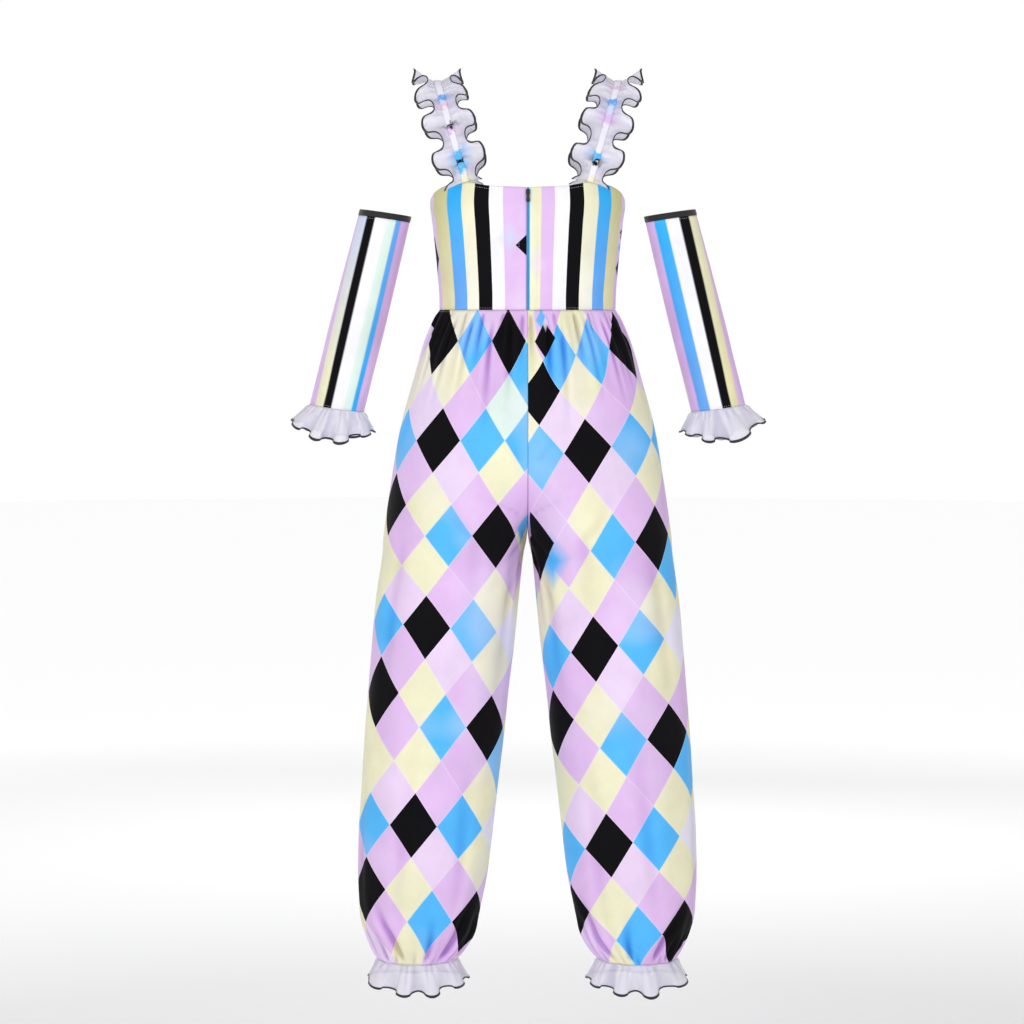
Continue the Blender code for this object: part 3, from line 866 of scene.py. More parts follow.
@dataclass(frozen=True)
class Organza(Finish):
    """Sheer crisp organza, with shade painted in its bays and pleats; round a strap the print under it
    tints it.
    """

    tint: tuple[StripeEdge, ...] = ()
    tint_soft: float = 0.012
    cover: float = 0.63
    fold_shade_strength: float = 0.72
    roughness: float = 0.42
    sheen: float = 0.3
    weave_scale: float = 1500.0

    def dress(self, nodes: Nodes) -> None:
        """Feed the shader's sockets."""
        place = nodes.place()
        cloud = nodes.grain(place, 30.0, 2.0)
        clouded = nodes.span(cloud, 0.35, 0.7, 0.0, 0.35)
        dye = nodes.blend(clouded, Shade.ORGANZA.linear, Shade.SNOW_LILAC.linear)
        if self.tint:
            away, along = nodes.print_place()
            along = nodes.calc("ADD", along, nodes.swing(nodes.grain(place, 60.0, 1.0), -0.03, 0.03))
            tint = nodes.steps(along, [(edge.start, edge.top) for edge in self.tint], self.tint_soft)
            near = nodes.span(away, 0.1, 0.58, 0.74, 0.0)
            dye = nodes.blend(near, dye, tint)
        # Painted shade: dimmed where the sheer lies deep in a bay or a pleat
        deep = nodes.calc("MULTIPLY", nodes.fold_shade_share(), self.fold_shade_strength)
        dye = nodes.blend(deep, dye, nodes.blend(1.0, dye, Shade.VEIL_FOLD_SHADOW.linear, "MULTIPLY"))
        weave = nodes.grain(place, self.weave_scale, 1.0)
        nodes.set(
            Base_Color=dye,
            Roughness=nodes.swing(weave, self.roughness - 0.05, self.roughness + 0.05),
            Specular_IOR_Level=0.35,
            Sheen_Weight=self.sheen,
            Sheen_Roughness=0.3,
            Alpha=self.cover,
            Normal=nodes.relief(weave, 0.0001, 0.35),
        )


@dataclass(frozen=True)
class Thread(Finish):
    """Twisted thread, of a stitch or of a rolled hem."""

    shade: Shade
    twist_scale: float = 700.0
    roughness: float = 0.62

    def dress(self, nodes: Nodes) -> None:
        """Feed the shader's sockets."""
        twist = nodes.grain(nodes.stretched_place((1.0, 1.0, 0.5)), self.twist_scale, 2.0)
        lit = nodes.span(twist, 0.35, 0.65, 0.0, 1.0)
        nodes.set(
            Base_Color=nodes.blend(lit, self.shade.dimmed(0.72), self.shade.linear),
            Roughness=self.roughness,
            Sheen_Weight=0.25,
            Normal=nodes.relief(twist, 0.0002, 0.6),
        )


@dataclass(frozen=True)
class RibbedElastic(Finish):
    """Black elastic binding with fine ribs along its length, which the print's map counts across it."""

    ribs: float = 6.0

    def dress(self, nodes: Nodes) -> None:
        """Feed the shader's sockets."""
        _, down = nodes.print_place()
        rib = nodes.calc("SINE", nodes.calc("MULTIPLY", down, math.tau * self.ribs))
        knit = nodes.grain(nodes.place(), 1100.0, 1.0)
        height = nodes.calc("MULTIPLY_ADD", rib, 0.5, nodes.calc("MULTIPLY", knit, 0.6))
        # The black is paler where the ribs and the knit stand highest
        paler_on_crests = nodes.span(height, -0.3, 1.0, 0.0, 0.7)
        nodes.set(
            Base_Color=nodes.blend(paler_on_crests, Shade.INK.linear, Shade.INK.dimmed(2.6)),
            Roughness=0.66,
            Sheen_Weight=0.22,
            Normal=nodes.relief(height, 0.0002, 0.7),
        )


@dataclass(frozen=True)
class ZipNylon(Finish):
    """Blue nylon of the zip's coil and tape."""

    def dress(self, nodes: Nodes) -> None:
        """Feed the shader's sockets."""
        weave = nodes.grain(nodes.stretched_place((1.0, 1.0, 0.6)), 1600.0, 2.0)
        nodes.set(
            Base_Color=nodes.two_tone(weave, Shade.ZIP_BLUE, 0.7),
            Roughness=0.42,
            Coat_Weight=0.1,
            Normal=nodes.relief(weave, 0.00015, 0.6),
        )


@dataclass(frozen=True)
class EnamelledZinc(Finish):
    """Black enamel on cast zinc, rubbed to the metal in specks."""

    def dress(self, nodes: Nodes) -> None:
        """Feed the shader's sockets."""
        place = nodes.place()
        specks = nodes.span(nodes.grain(place, 900.0, 4.0, 0.7), 0.66, 0.72, 0.0, 0.8)
        orange_peel = nodes.grain(place, 420.0, 2.0)
        nodes.set(
            Base_Color=nodes.blend(specks, Shade.ENAMEL.linear, Shade.BARE_ZINC.linear),
            Metallic=specks,
            Roughness=nodes.swing(orange_peel, 0.22, 0.36),
            Coat_Weight=0.35,
            Coat_Roughness=0.12,
            Normal=nodes.relief(orange_peel, 0.0001, 0.4),
        )


@dataclass(frozen=True)
class StudioPaper(Finish):
    """Pale seamless paper of the floor, which fades into the white round it."""

    fade_from: float = 1.8
    fade_to: float = 5.0
    fade: tuple[float, float] = (0.06, 0.58)

    def dress(self, nodes: Nodes) -> None:
        """Feed the shader's sockets."""
        fibre = nodes.grain(nodes.place(), 60.0, 3.0)
        across, along, _ = nodes.parts(nodes.place())
        square = nodes.calc("MULTIPLY", along, along)
        away = nodes.calc("SQRT", nodes.calc("MULTIPLY_ADD", across, across, square))
        nodes.set(
            Base_Color=nodes.two_tone(fibre, Shade.PAPER, 0.985),
            Roughness=0.9,
            Specular_IOR_Level=0.1,
            Emission_Color=Shade.PAPER.linear,
            Emission_Strength=nodes.span(away, self.fade_from, self.fade_to, *self.fade),
        )


# Making pieces


class Slot(Enum):
    """The record's material slots."""

    STRIPES = "striped_satin"
    DIAMONDS = "diamond_satin"
    ORGANZA = "organza"
    BINDING = "black_binding"
    ZIP = "blue_zip"


def unprinted(u: float, v: float) -> tuple[float, float]:
    """Return the place on the map of a cloth without a print."""
    return u, v


def charted_grid(
    grid: tuple[int, int], charts: dict[str, ChartPoint]
) -> tuple[bmesh.types.BMesh, dict[bmesh.types.BMVert, tuple[float, float]]]:
    """Start a piece as a flat grid with its maps.

    Args:
        grid: The columns along u and the rows along v.
        charts: For each map, the place on it of a point of the grid.

    Returns:
        The grid, and the place of each of its vertices.
    """
    form = bmesh.new()
    bmesh.ops.create_grid(form, x_segments=grid[0], y_segments=grid[1], size=0.5)
    places = {vertex: (vertex.co.x + 0.5, vertex.co.y + 0.5) for vertex in form.verts}
    for map_name, chart in charts.items():
        layer = form.loops.layers.uv.new(map_name)
        charted = {vertex: chart(u, v) for vertex, (u, v) in places.items()}
        for face in form.faces:
            for loop in face.loops:
                loop[layer].uv = charted[loop.vert]
    return form, places


def add_bead(form: bmesh.types.BMesh, centre: Vector, turn: Matrix, size: Vector) -> None:
    """Add a rounded bead, which is a stitch or a turn of the zip's coil.

    Args:
        form: The bmesh that it joins.
        centre: Its middle.
        turn: How it is turned.
        size: Its length, width and height.
    """
    matrix = Matrix.Translation(centre) @ turn @ Matrix.Diagonal((*(size / 2), 1))
    bmesh.ops.create_icosphere(form, subdivisions=1, radius=1.0, matrix=matrix)


@dataclass
class Workroom:
    """Makes meshes, books each piece with the frame and reports it."""

    collection: bpy.types.Collection

    def book(
        self, made: Piece, material: Material, slot: Slot, replaces: Sequence[str] = ()
    ) -> Piece:
        """Give a piece its material and its body, and hide the nodes that it stands for.

        Args:
            made: The piece.
            material: Its material.
            slot: The record's slot; not used.
            replaces: The nodes that it stands for.

        Returns:
            The piece.
        """
        made.data.materials.clear()
        made.data.materials.append(material)
        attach(made, GARMENT)
        if replaces:
            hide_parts(*replaces)
        LOG.info("piece %s: %d faces", made.name, len(made.data.polygons))
        return made

    def hang(self, name: str, form: bmesh.types.BMesh, wall: float = 0.0) -> Piece:
        """Turn a bmesh into a smooth object at the origin.

        Args:
            name: The object's name.
            form: The bmesh, which is freed.
            wall: The thickness to give a sheet on its inner side; nothing for a solid form.

        Returns:
            The object.
        """
        mesh = bpy.data.meshes.new(name)
        form.to_mesh(mesh)
        form.free()
        made = bpy.data.objects.new(name, mesh)
        self.collection.objects.link(made)
        mesh.shade_smooth()
        if wall:
            solidify = made.modifiers.new("wall", "SOLIDIFY")
            solidify.thickness = wall
            solidify.offset = -1
        return made

    def cloth(
        self,
        name: str,
        point: SurfacePoint,
        grid: tuple[int, int],
        outward: Vector,
        wall: float,
        chart: ChartPoint | None = None,
        closed: bool = False,
        fold_shadow: SurfaceValue | None = None,
    ) -> Piece:
        """Lay a grid on a surface, facing outward, and give it a wall on the inner side.

        Args:
            name: The object's name.
            point: The surface of the cloth's outer face.
            grid: The columns along u and the rows along v.
            outward: Roughly where the face looks at the middle of the grid.
            wall: The cloth's thickness.
            chart: The place on the print of a point of the grid.
            closed: Whether the cloth is a tube, closed from u 1 to u 0.
            fold: How deep in a fold a point of the grid lies, from 0 to 1, kept on a map for the shade
                painted there.

        Returns:
            The object.
        """
        charts = {PRINT_MAP: chart or unprinted}
        if fold_shadow:
            charts[FOLD_SHADE_MAP] = lambda u, v: (fold_shadow(u, v), 0.0)
        form, places = charted_grid(grid, charts)
        for vertex, (u, v) in places.items():
            vertex.co = point(u, v)
        if closed:
            bmesh.ops.remove_doubles(form, verts=form.verts, dist=WELD)
        step = 0.01
        middle = point(0.5, 0.5)
        facing = (point(0.5 + step, 0.5) - middle).cross(point(0.5, 0.5 + step) - middle)
        if facing.dot(outward) < 0:
            bmesh.ops.reverse_faces(form, faces=form.faces)
        return self.hang(name, form, wall)

    def binding(
        self,
        name: str,
        edges: Sequence[SurfacePoint],
        columns: int,
        outward: Vector,
        wall: float,
        proud: float,
        closed: bool = False,
    ) -> Piece:
        """Bind the edge of a thin cloth on both faces.

        Args:
            name: The object's name.
            edges: For each edge, the cloth's outer face, v from the binding's inner side past the edge.
            columns: The columns along an edge.
            outward: Roughly where the face looks at the middle of the first edge.
            wall: The bound cloth's thickness.
            proud: How far the binding stands off each face.
            closed: Whether the edge is a loop.

        Returns:
            The object.
        """
        step = 0.002
        forms = bmesh.new()
        for edge in edges:

            def normal(u: float, v: float, edge: SurfacePoint = edge) -> Vector:
                """Return the normal of the cloth's face, either way round."""
                low, high = max(u - step, 0.0), min(u + step, 1.0)
                down = edge(u, min(v + 0.1, 1.0)) - edge(u, max(v - 0.1, 0.0))
                return (edge(high, v) - edge(low, v)).cross(down).normalized()

            sign = 1 if normal(0.5, 0.5).dot(outward) > 0 else -1
            part, places = charted_grid((columns, 3), {PRINT_MAP: unprinted})
            for vertex, (u, v) in places.items():
                vertex.co = edge(u, v) + sign * normal(u, v) * proud
            if closed:
                bmesh.ops.remove_doubles(part, verts=part.verts, dist=WELD)
            part.normal_update()
            middle = min(part.faces, key=lambda face: (face.calc_center_median() - edge(0.5, 0.5)).length)
            if middle.normal.dot(sign * normal(0.5, 0.5)) < 0:
                bmesh.ops.reverse_faces(part, faces=part.faces)
            mesh = bpy.data.meshes.new(name)
            part.to_mesh(mesh)
            part.free()
            forms.from_mesh(mesh)
            bpy.data.meshes.remove(mesh)
        return self.hang(name, forms, wall + 2 * proud)

    def sew(
        self, name: str, lines: Sequence[Sequence[Vector]], stitch: Vector, pitch: float, slot: Slot
    ) -> None:
        """Sew small rounded stitches along each line.

        Args:
            name: The name of what is sewn.
            lines: The points of each line of stitches.
            stitch: A stitch's length, width and height.
            pitch: The distance from stitch to stitch.
            slot: The record's slot for the thread.
        """
        form = bmesh.new()
        for line in lines:
            for centre, along in evenly(line, pitch):
                add_bead(form, centre, along.to_track_quat("X", "Z").to_matrix().to_4x4(), stitch)
        thread = Thread(f"{name}_thread", Shade.THREAD).material()
        self.book(self.hang(f"{name}_stitches", form), thread, slot)


def evenly(line: Sequence[Vector], pitch: float) -> list[tuple[Vector, Vector]]:
    """Walk a line in even steps.

    Args:
        line: The line's points.
        pitch: The distance to walk between two places.

    Returns:
        Each place with the direction of the line there.
    """
    found = []
    left = pitch / 2
    for start, end in zip(line, line[1:]):
        span = (end - start).length
        while left <= span and span > 0:
            found.append((start.lerp(end, left / span), (end - start).normalized()))
            left += pitch
        left -= span
    return found


class Relief:
    """The creases pressed into one cloth."""

    SEEN = 3.2
    SHORTEST_ONSET = 0.12
    LONGEST_ONSET = 0.45
    ONSET_LENGTH = 0.7

    def __init__(self, creases: Sequence[Crease]) -> None:
        """Keep the creases and start with no heights."""
        self.creases = tuple(creases)
        self.known: dict[tuple[float, float], float] = {}

    def height(self, u: float, z: float, arc: float) -> float:
        """Return how far the creases move the cloth out.

        Args:
            u: The place across the cloth, from 0 to 1.
            z: The height.
            arc: The cloth's width at this height.

        Returns:
            A height in metres, below zero in a crease's trough.
        """
        if (u, z) in self.known:
            return self.known[u, z]
        total = 0.0
        for crease in self.creases:
            share = (crease.z - z) / (crease.z - crease.end_z)
            if not 0.0 < share < 1.0:
                continue
            width = mix(crease.width, crease.end_width, share)
            aside = (u - mix(crease.u, crease.end_u, share)) * arc / width
            if abs(aside) > self.SEEN:
                continue
            onset = abs(crease.z - crease.end_z) / self.ONSET_LENGTH
            onset = min(max(onset, self.SHORTEST_ONSET), self.LONGEST_ONSET)
            along = ease(share / onset) * (1.0 - ease(share)) ** 0.8
            total -= crease.depth * along * (1.0 - 0.8 * aside * aside) * math.exp(-aside * aside / 2)
        self.known[u, z] = total
        return total


# The bodice


def ring_size(table: tuple, z: float, facing: Facing) -> tuple[float, float]:
    """Return a torso ring's half width and its depth on the back or the front."""
    half_width, back_depth, front_depth = torso_at(table, z)
    return half_width, back_depth if facing is Facing.BACK else front_depth


def bodice_ring(z: float, turn: float, facing: Facing) -> Vector:
    """Return the point of a bodice ring a turn away from the centre line of the back or the front."""
    half_width, depth = ring_size(BODICE, z, facing)
    return Vector((half_width * math.sin(turn), facing.value * depth * math.cos(turn), z))


@lru_cache(maxsize=None)
def top_edge(u: float) -> float:
    """Return the height of the bodice's top edge at u."""
    return at(TOP_EDGE, u)[0]


@dataclass
class Bodice:
    """The strapless bodice: two back panels parted by the zip, and one front panel."""

    zip_slot: float = 0.0023
    columns: int = 60
    rows: int = 64
    hem_line: float = 0.0045
    waist_line: float = 0.0028
    zip_line: float = 0.05
    left_drift: float = 0.06
    calm_side: float = 0.06
    calm_top: float = 0.05
    stitch: Vector = field(default_factory=lambda: Vector((0.0024, 0.0005, 0.0004)))
    stitch_pitch: float = 0.0036
    stitch_steps: int = 80
    back_creases: tuple[Crease, ...] = rows_of(
        Crease,
        (0.93, -0.182, 0.74, -0.236, 0.006, 0.011, 0.0016),
        (0.84, -0.17, 0.7, -0.214, 0.005, 0.009, 0.0011),
        (0.98, -0.21, 0.84, -0.275, 0.007, 0.012, 0.0014),
        (0.6, -0.336, 0.66, -0.286, 0.006, 0.011, 0.0009),
        (0.3, -0.336, 0.27, -0.296, 0.0055, 0.01, 0.0007),
        (0.86, -0.336, 0.9, -0.292, 0.006, 0.011, 0.001),
        (0.16, -0.166, 0.22, -0.206, 0.006, 0.01, 0.0006),
    )
    front_creases: tuple[Crease, ...] = rows_of(
        Crease,
        (0.94, -0.182, 0.76, -0.24, 0.006, 0.012, 0.0016),
        (0.86, -0.172, 0.72, -0.216, 0.005, 0.009, 0.001),
        (0.55, -0.336, 0.6, -0.29, 0.006, 0.011, 0.001), (0.22, -0.336, 0.2, -0.3, 0.006, 0.01, 0.0007),
    )

    def __post_init__(self) -> None:
        """Press the creases."""
        self.relief = {Facing.BACK: Relief(self.back_creases), Facing.FRONT: Relief(self.front_creases)}

    def turn(self, u: float, z: float, facing: Facing) -> float:
        """Return the turn of a place u from the centre line to the side seam."""
        start = 0.0
        if facing is Facing.BACK:
            start = math.asin(self.zip_slot / torso_at(BODICE, z)[0])
        seam = SIDE_SEAM / 2 / torso_at(BODICE, z)[1]
        return mix(start, math.pi / 2 - seam, u)

    def point(self, u: float, v: float, side: Side, facing: Facing) -> Vector:
        """Return a point of a bodice quarter's outer face.

        Args:
            u: The place from the centre line, 0, to the side seam, 1.
            v: The place from the top edge, 0, to the waist, 1.
            side: The wearer's side.
            facing: Back or front.

        Returns:
            The point.
        """
        z = mix(top_edge(u), WAIST_Z, v)
        turn = self.turn(u, z, facing)
        point = bodice_ring(z, turn, facing)
        half_width, depth = ring_size(BODICE, z, facing)
        sideways, ahead = depth * math.sin(turn), facing.value * half_width * math.cos(turn)
        outward = Vector((sideways, ahead, 0)).normalized()
        arc = half_width * math.pi / 2
        drift = self.left_drift if side is Side.LEFT else 0.0
        lift = self.relief[facing].height(u + drift * u * (1 - u), z, arc)
        lift *= ease(min(u, 1 - u) / self.calm_side) * ease(v / self.calm_top)
        point += outward * lift
        point.x *= side.value
        return point

    def chart(self, u: float, v: float, facing: Facing) -> tuple[float, float]:
        """Return the place on the print of a point of a quarter."""
        z = mix(top_edge(u), WAIST_Z, v)
        return arc_share(self.turn(u, z, facing)), v

    def build(self, room: Workroom) -> None:
        """Make the three panels and their stitches."""
        for side in Side:
            name = f"bodice_back_{side.word}"
            panel = room.cloth(
                f"{name}_cloth",
                lambda u, v, side=side: self.point(u, v, side, Facing.BACK),
                (self.columns, self.rows),
                Vector((side.value, -1, 0)),
                CLOTH_WALL,
                lambda u, v: self.chart(u, v, Facing.BACK),
            )
            printed = BODICE_HAZES[side] + BODICE_LOZENGES[side]
            satin = StripedSatin(f"{name}_stripes", BODICE_BACK_STRIPES[side], lozenges=printed)
            room.book(panel, satin.material(), Slot.STRIPES, (name,))

        def front(u: float, v: float) -> Vector:
            """Return a point of the front panel."""
            return self.point(abs(2 * u - 1), v, Side.RIGHT if u > 0.5 else Side.LEFT, Facing.FRONT)

        def front_chart(u: float, v: float) -> tuple[float, float]:
            """Return the place on the print of a point of the front panel."""
            across, down = self.chart(abs(2 * u - 1), v, Facing.FRONT)
            return (across if u > 0.5 else -across), down

        panel = room.cloth(
            "bodice_front_cloth", front, (2 * self.columns, self.rows), FORWARD, CLOTH_WALL, front_chart
        )
        printed = (Lozenge(1.15, -0.26, 0.19, 0.05, Shade.INK, 0.0, 1.0),)
        satin = StripedSatin("bodice_front_stripes", BODICE_FRONT_STRIPES, lozenges=printed, mirrored=True)
        room.book(panel, satin.material(), Slot.STRIPES, ("bodice_front",))
        self.sew(room)

    def sew(self, room: Workroom) -> None:
        """Sew the top hem, the waist and both sides of the zip."""
        lines = []
        shares = [n / self.stitch_steps for n in range(self.stitch_steps + 1)]
        raise_by = self.stitch.z * STITCH_LIFT
        for side in Side:
            for facing in Facing:
                for drop, edge in ((self.hem_line, 0), (-self.waist_line, 1)):
                    line = []
                    for u in (mix(0.03, 0.995, share) for share in shares):
                        spot = self.point(u, edge + drop / (top_edge(u) - WAIST_Z), side, facing)
                        line.append(spot + Vector((spot.x, spot.y, 0)).normalized() * raise_by)
                    lines.append(line)
            places = (mix(0.03, 0.985, share) for share in shares)
            beside = [self.point(self.zip_line, v, side, Facing.BACK) for v in places]
            lines.append([spot - FORWARD * raise_by for spot in beside])
        room.sew("bodice", lines, self.stitch, self.stitch_pitch, Slot.STRIPES)


# The zip


@dataclass
class Zip:
    """The concealed zip: a tape in the slot, two rows of coil on it, the slider and its pull tab."""

    half_width: float = 0.002
    recess: float = 0.0003
    tape_wall: float = 0.0008
    tape_grid: tuple[int, int] = (4, 60)
    coil_pitch: float = 0.0014
    coil_size: Vector = field(default_factory=lambda: Vector((0.0021, 0.0009, 0.0009)))
    coil_x: float = 0.0009
    coil_slant: float = math.radians(14)
    slider_room: float = 0.0125
    foot_room: float = 0.001
    coil_run: float = 0.178

    def tape_point(self, u: float, v: float) -> Vector:
        """Return a point of the tape's outer face."""
        z = mix(top_edge(0.0) - SEAM, WAIST_Z, v)
        x = mix(-self.half_width, self.half_width, u)
        return Vector((x, -torso_at(BODICE, z)[1] + self.recess, z))

    def build(self, room: Workroom, frame: dict) -> None:
        """Make the tape and the coil, and finish the slider and the tab.

        Args:
            room: The workroom.
            frame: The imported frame.
        """
        tape = room.cloth("zip_tape_cloth", self.tape_point, self.tape_grid, -FORWARD, self.tape_wall)
        nylon = ZipNylon("zip_nylon").material()
        room.book(tape, nylon, Slot.ZIP, ("zip_tape",))
        form = bmesh.new()
        top, foot = top_edge(0.0) - self.slider_room, WAIST_Z + self.foot_room
        for n in range(int((top - foot) / self.coil_pitch)):
            for sign in (-1, 1):
                z = top - (n + (0.5 if sign > 0 else 0.0)) * self.coil_pitch
                y = self.tape_point(0.5, (top_edge(0.0) - z) / self.coil_run).y
                turn = Matrix.Rotation(sign * self.coil_slant, 4, "Y")
                add_bead(form, Vector((sign * self.coil_x, y, z)), turn, self.coil_size)
        coil = room.hang("zip_coil", form)
        room.book(coil, nylon, Slot.ZIP)
        enamel = EnamelledZinc("zip_enamel").material()
        for node in ("zip_slider", "zip_pull"):
            holder = frame["nodes"][node]
            for slot in holder.material_slots:
                slot.material = enamel
            LOG.info("node %s: enamelled", node)


# The legs


@lru_cache(maxsize=None)
def leg_ring(z: float, facing: Facing) -> tuple[float, float, float, float]:
    """Return a leg panel's ring: its centre, half width and depth, and the turn of its inner seam."""
    half_width, depth = ring_size(TROUSERS, z, facing)
    if z >= HIP_Z:
        return 0.0, half_width, depth, math.pi / 2
    centre_x, leg_half_width, leg_depth = torso_at(LEG, z)
    if z <= CROTCH_Z:
        return centre_x, leg_half_width, leg_depth, math.pi
    down = (HIP_Z - z) / (HIP_Z - CROTCH_Z)
    centre_x *= ease(down**FORK_EASE)
    half_width -= centre_x
    seam_turn = math.acos(max(-1.0, -centre_x / half_width))
    return centre_x, half_width, mix(depth, leg_depth, ease(down)), seam_turn


def smooth_leg_point(u: float, z: float, facing: Facing) -> Vector:
    """Return a point of a right leg's panel with no gathers, u from its inner seam to the side seam."""
    centre_x, half_width, depth, seam_turn = leg_ring(z, facing)
    turn = seam_turn * (1 - u)
    return Vector((centre_x + half_width * math.cos(turn), facing.value * depth * math.sin(turn), z))


def print_spot(side: Side, x: float, z: float) -> tuple[float, float]:
    """Return where a place on the garment's middle plane lies on a leg's print.

    Args:
        side: The wearer's side.
        x: The place across, in metres.
        z: The height.

    Returns:
        The places across and down, in half diamonds.
    """
    rows = PRINT_ROWS[side]
    down, middle, pitch, tilt = at(rows, z)
    across = (x - middle) / pitch
    for _ in range(2):
        down, middle, pitch, _ = at(rows, z - tilt * across)
        across = (x - middle) / pitch
    return across, down


class PrintLayout:
    """Lays the diamonds on a leg's panel: flat to the eye in its middle, unstretched round the sides."""

    RATE = 0.8
    COLUMNS = 112

    def __init__(self, side: Side, facing: Facing) -> None:
        """Keep the panel's place and start with no rows laid out."""
        self.side = side
        self.facing = facing
        self.laid: dict[float, list[tuple[float, float]]] = {}

    def seen(self, point: Vector) -> tuple[float, float]:
        """Return where the eye sees a point, or its twin on the back, on the garment's middle plane."""
        reach = -EYE.y / (-abs(point.y) - EYE.y)
        x = point.x * self.side.value
        return EYE.x + (x - EYE.x) * reach, EYE.z + (point.z - EYE.z) * reach

    def row(self, z: float) -> list[tuple[float, float]]:
        """Lay out one row of the panel.

        Args:
            z: The row's height.

        Returns:
            For each column, the place across and the place down in metres on the middle plane.
        """
        if z in self.laid:
            return self.laid[z]
        last = self.COLUMNS
        points = [smooth_leg_point(n / last, z, self.facing) for n in range(last + 1)]
        spots = [self.seen(point) for point in points]
        gains = [
            max(abs(spots[n + 1][0] - spots[n][0]), self.RATE * (points[n + 1] - points[n]).length)
            for n in range(last)
        ]
        across = [0.0] * (last + 1)
        start = round(last * (1 - math.pi / 2 / leg_ring(z, self.facing)[3]))
        across[start] = spots[start][0]
        for n in range(start, last):
            across[n + 1] = across[n] + self.side.value * gains[n]
        for n in range(start, 0, -1):
            across[n - 1] = across[n] - self.side.value * gains[n - 1]
        self.laid[z] = [(x, spot[1]) for x, spot in zip(across, spots)]
        return self.laid[z]

    def place(self, u: float, z: float, moved: float) -> tuple[float, float]:
        """Return the place on the print, in half diamonds across and down.

        Args:
            u: The place across the panel.
            z: The height.
            moved: How far along X the folds have moved the cloth here.

        Returns:
            The places across and down.
        """
        x, seen_z = self.row(z)[round(u * self.COLUMNS)]
        return print_spot(self.side, x + moved, seen_z)


CREASE_DRIFT = {
    (Side.LEFT, Facing.BACK): (0.0, 1.0), (Side.RIGHT, Facing.BACK): (0.013, 0.92),
    (Side.LEFT, Facing.FRONT): (-0.017, 1.06), (Side.RIGHT, Facing.FRONT): (0.021, 0.97),
}

WAIST_GATHERS_Z, ANKLE_GATHERS_Z = -0.3385, -1.322


def pressed_from(z: float, *rows: tuple) -> tuple[Crease, ...]:
    """Return creases that all start at one height."""
    return tuple(Crease(u, z, *rest) for u, *rest in rows)


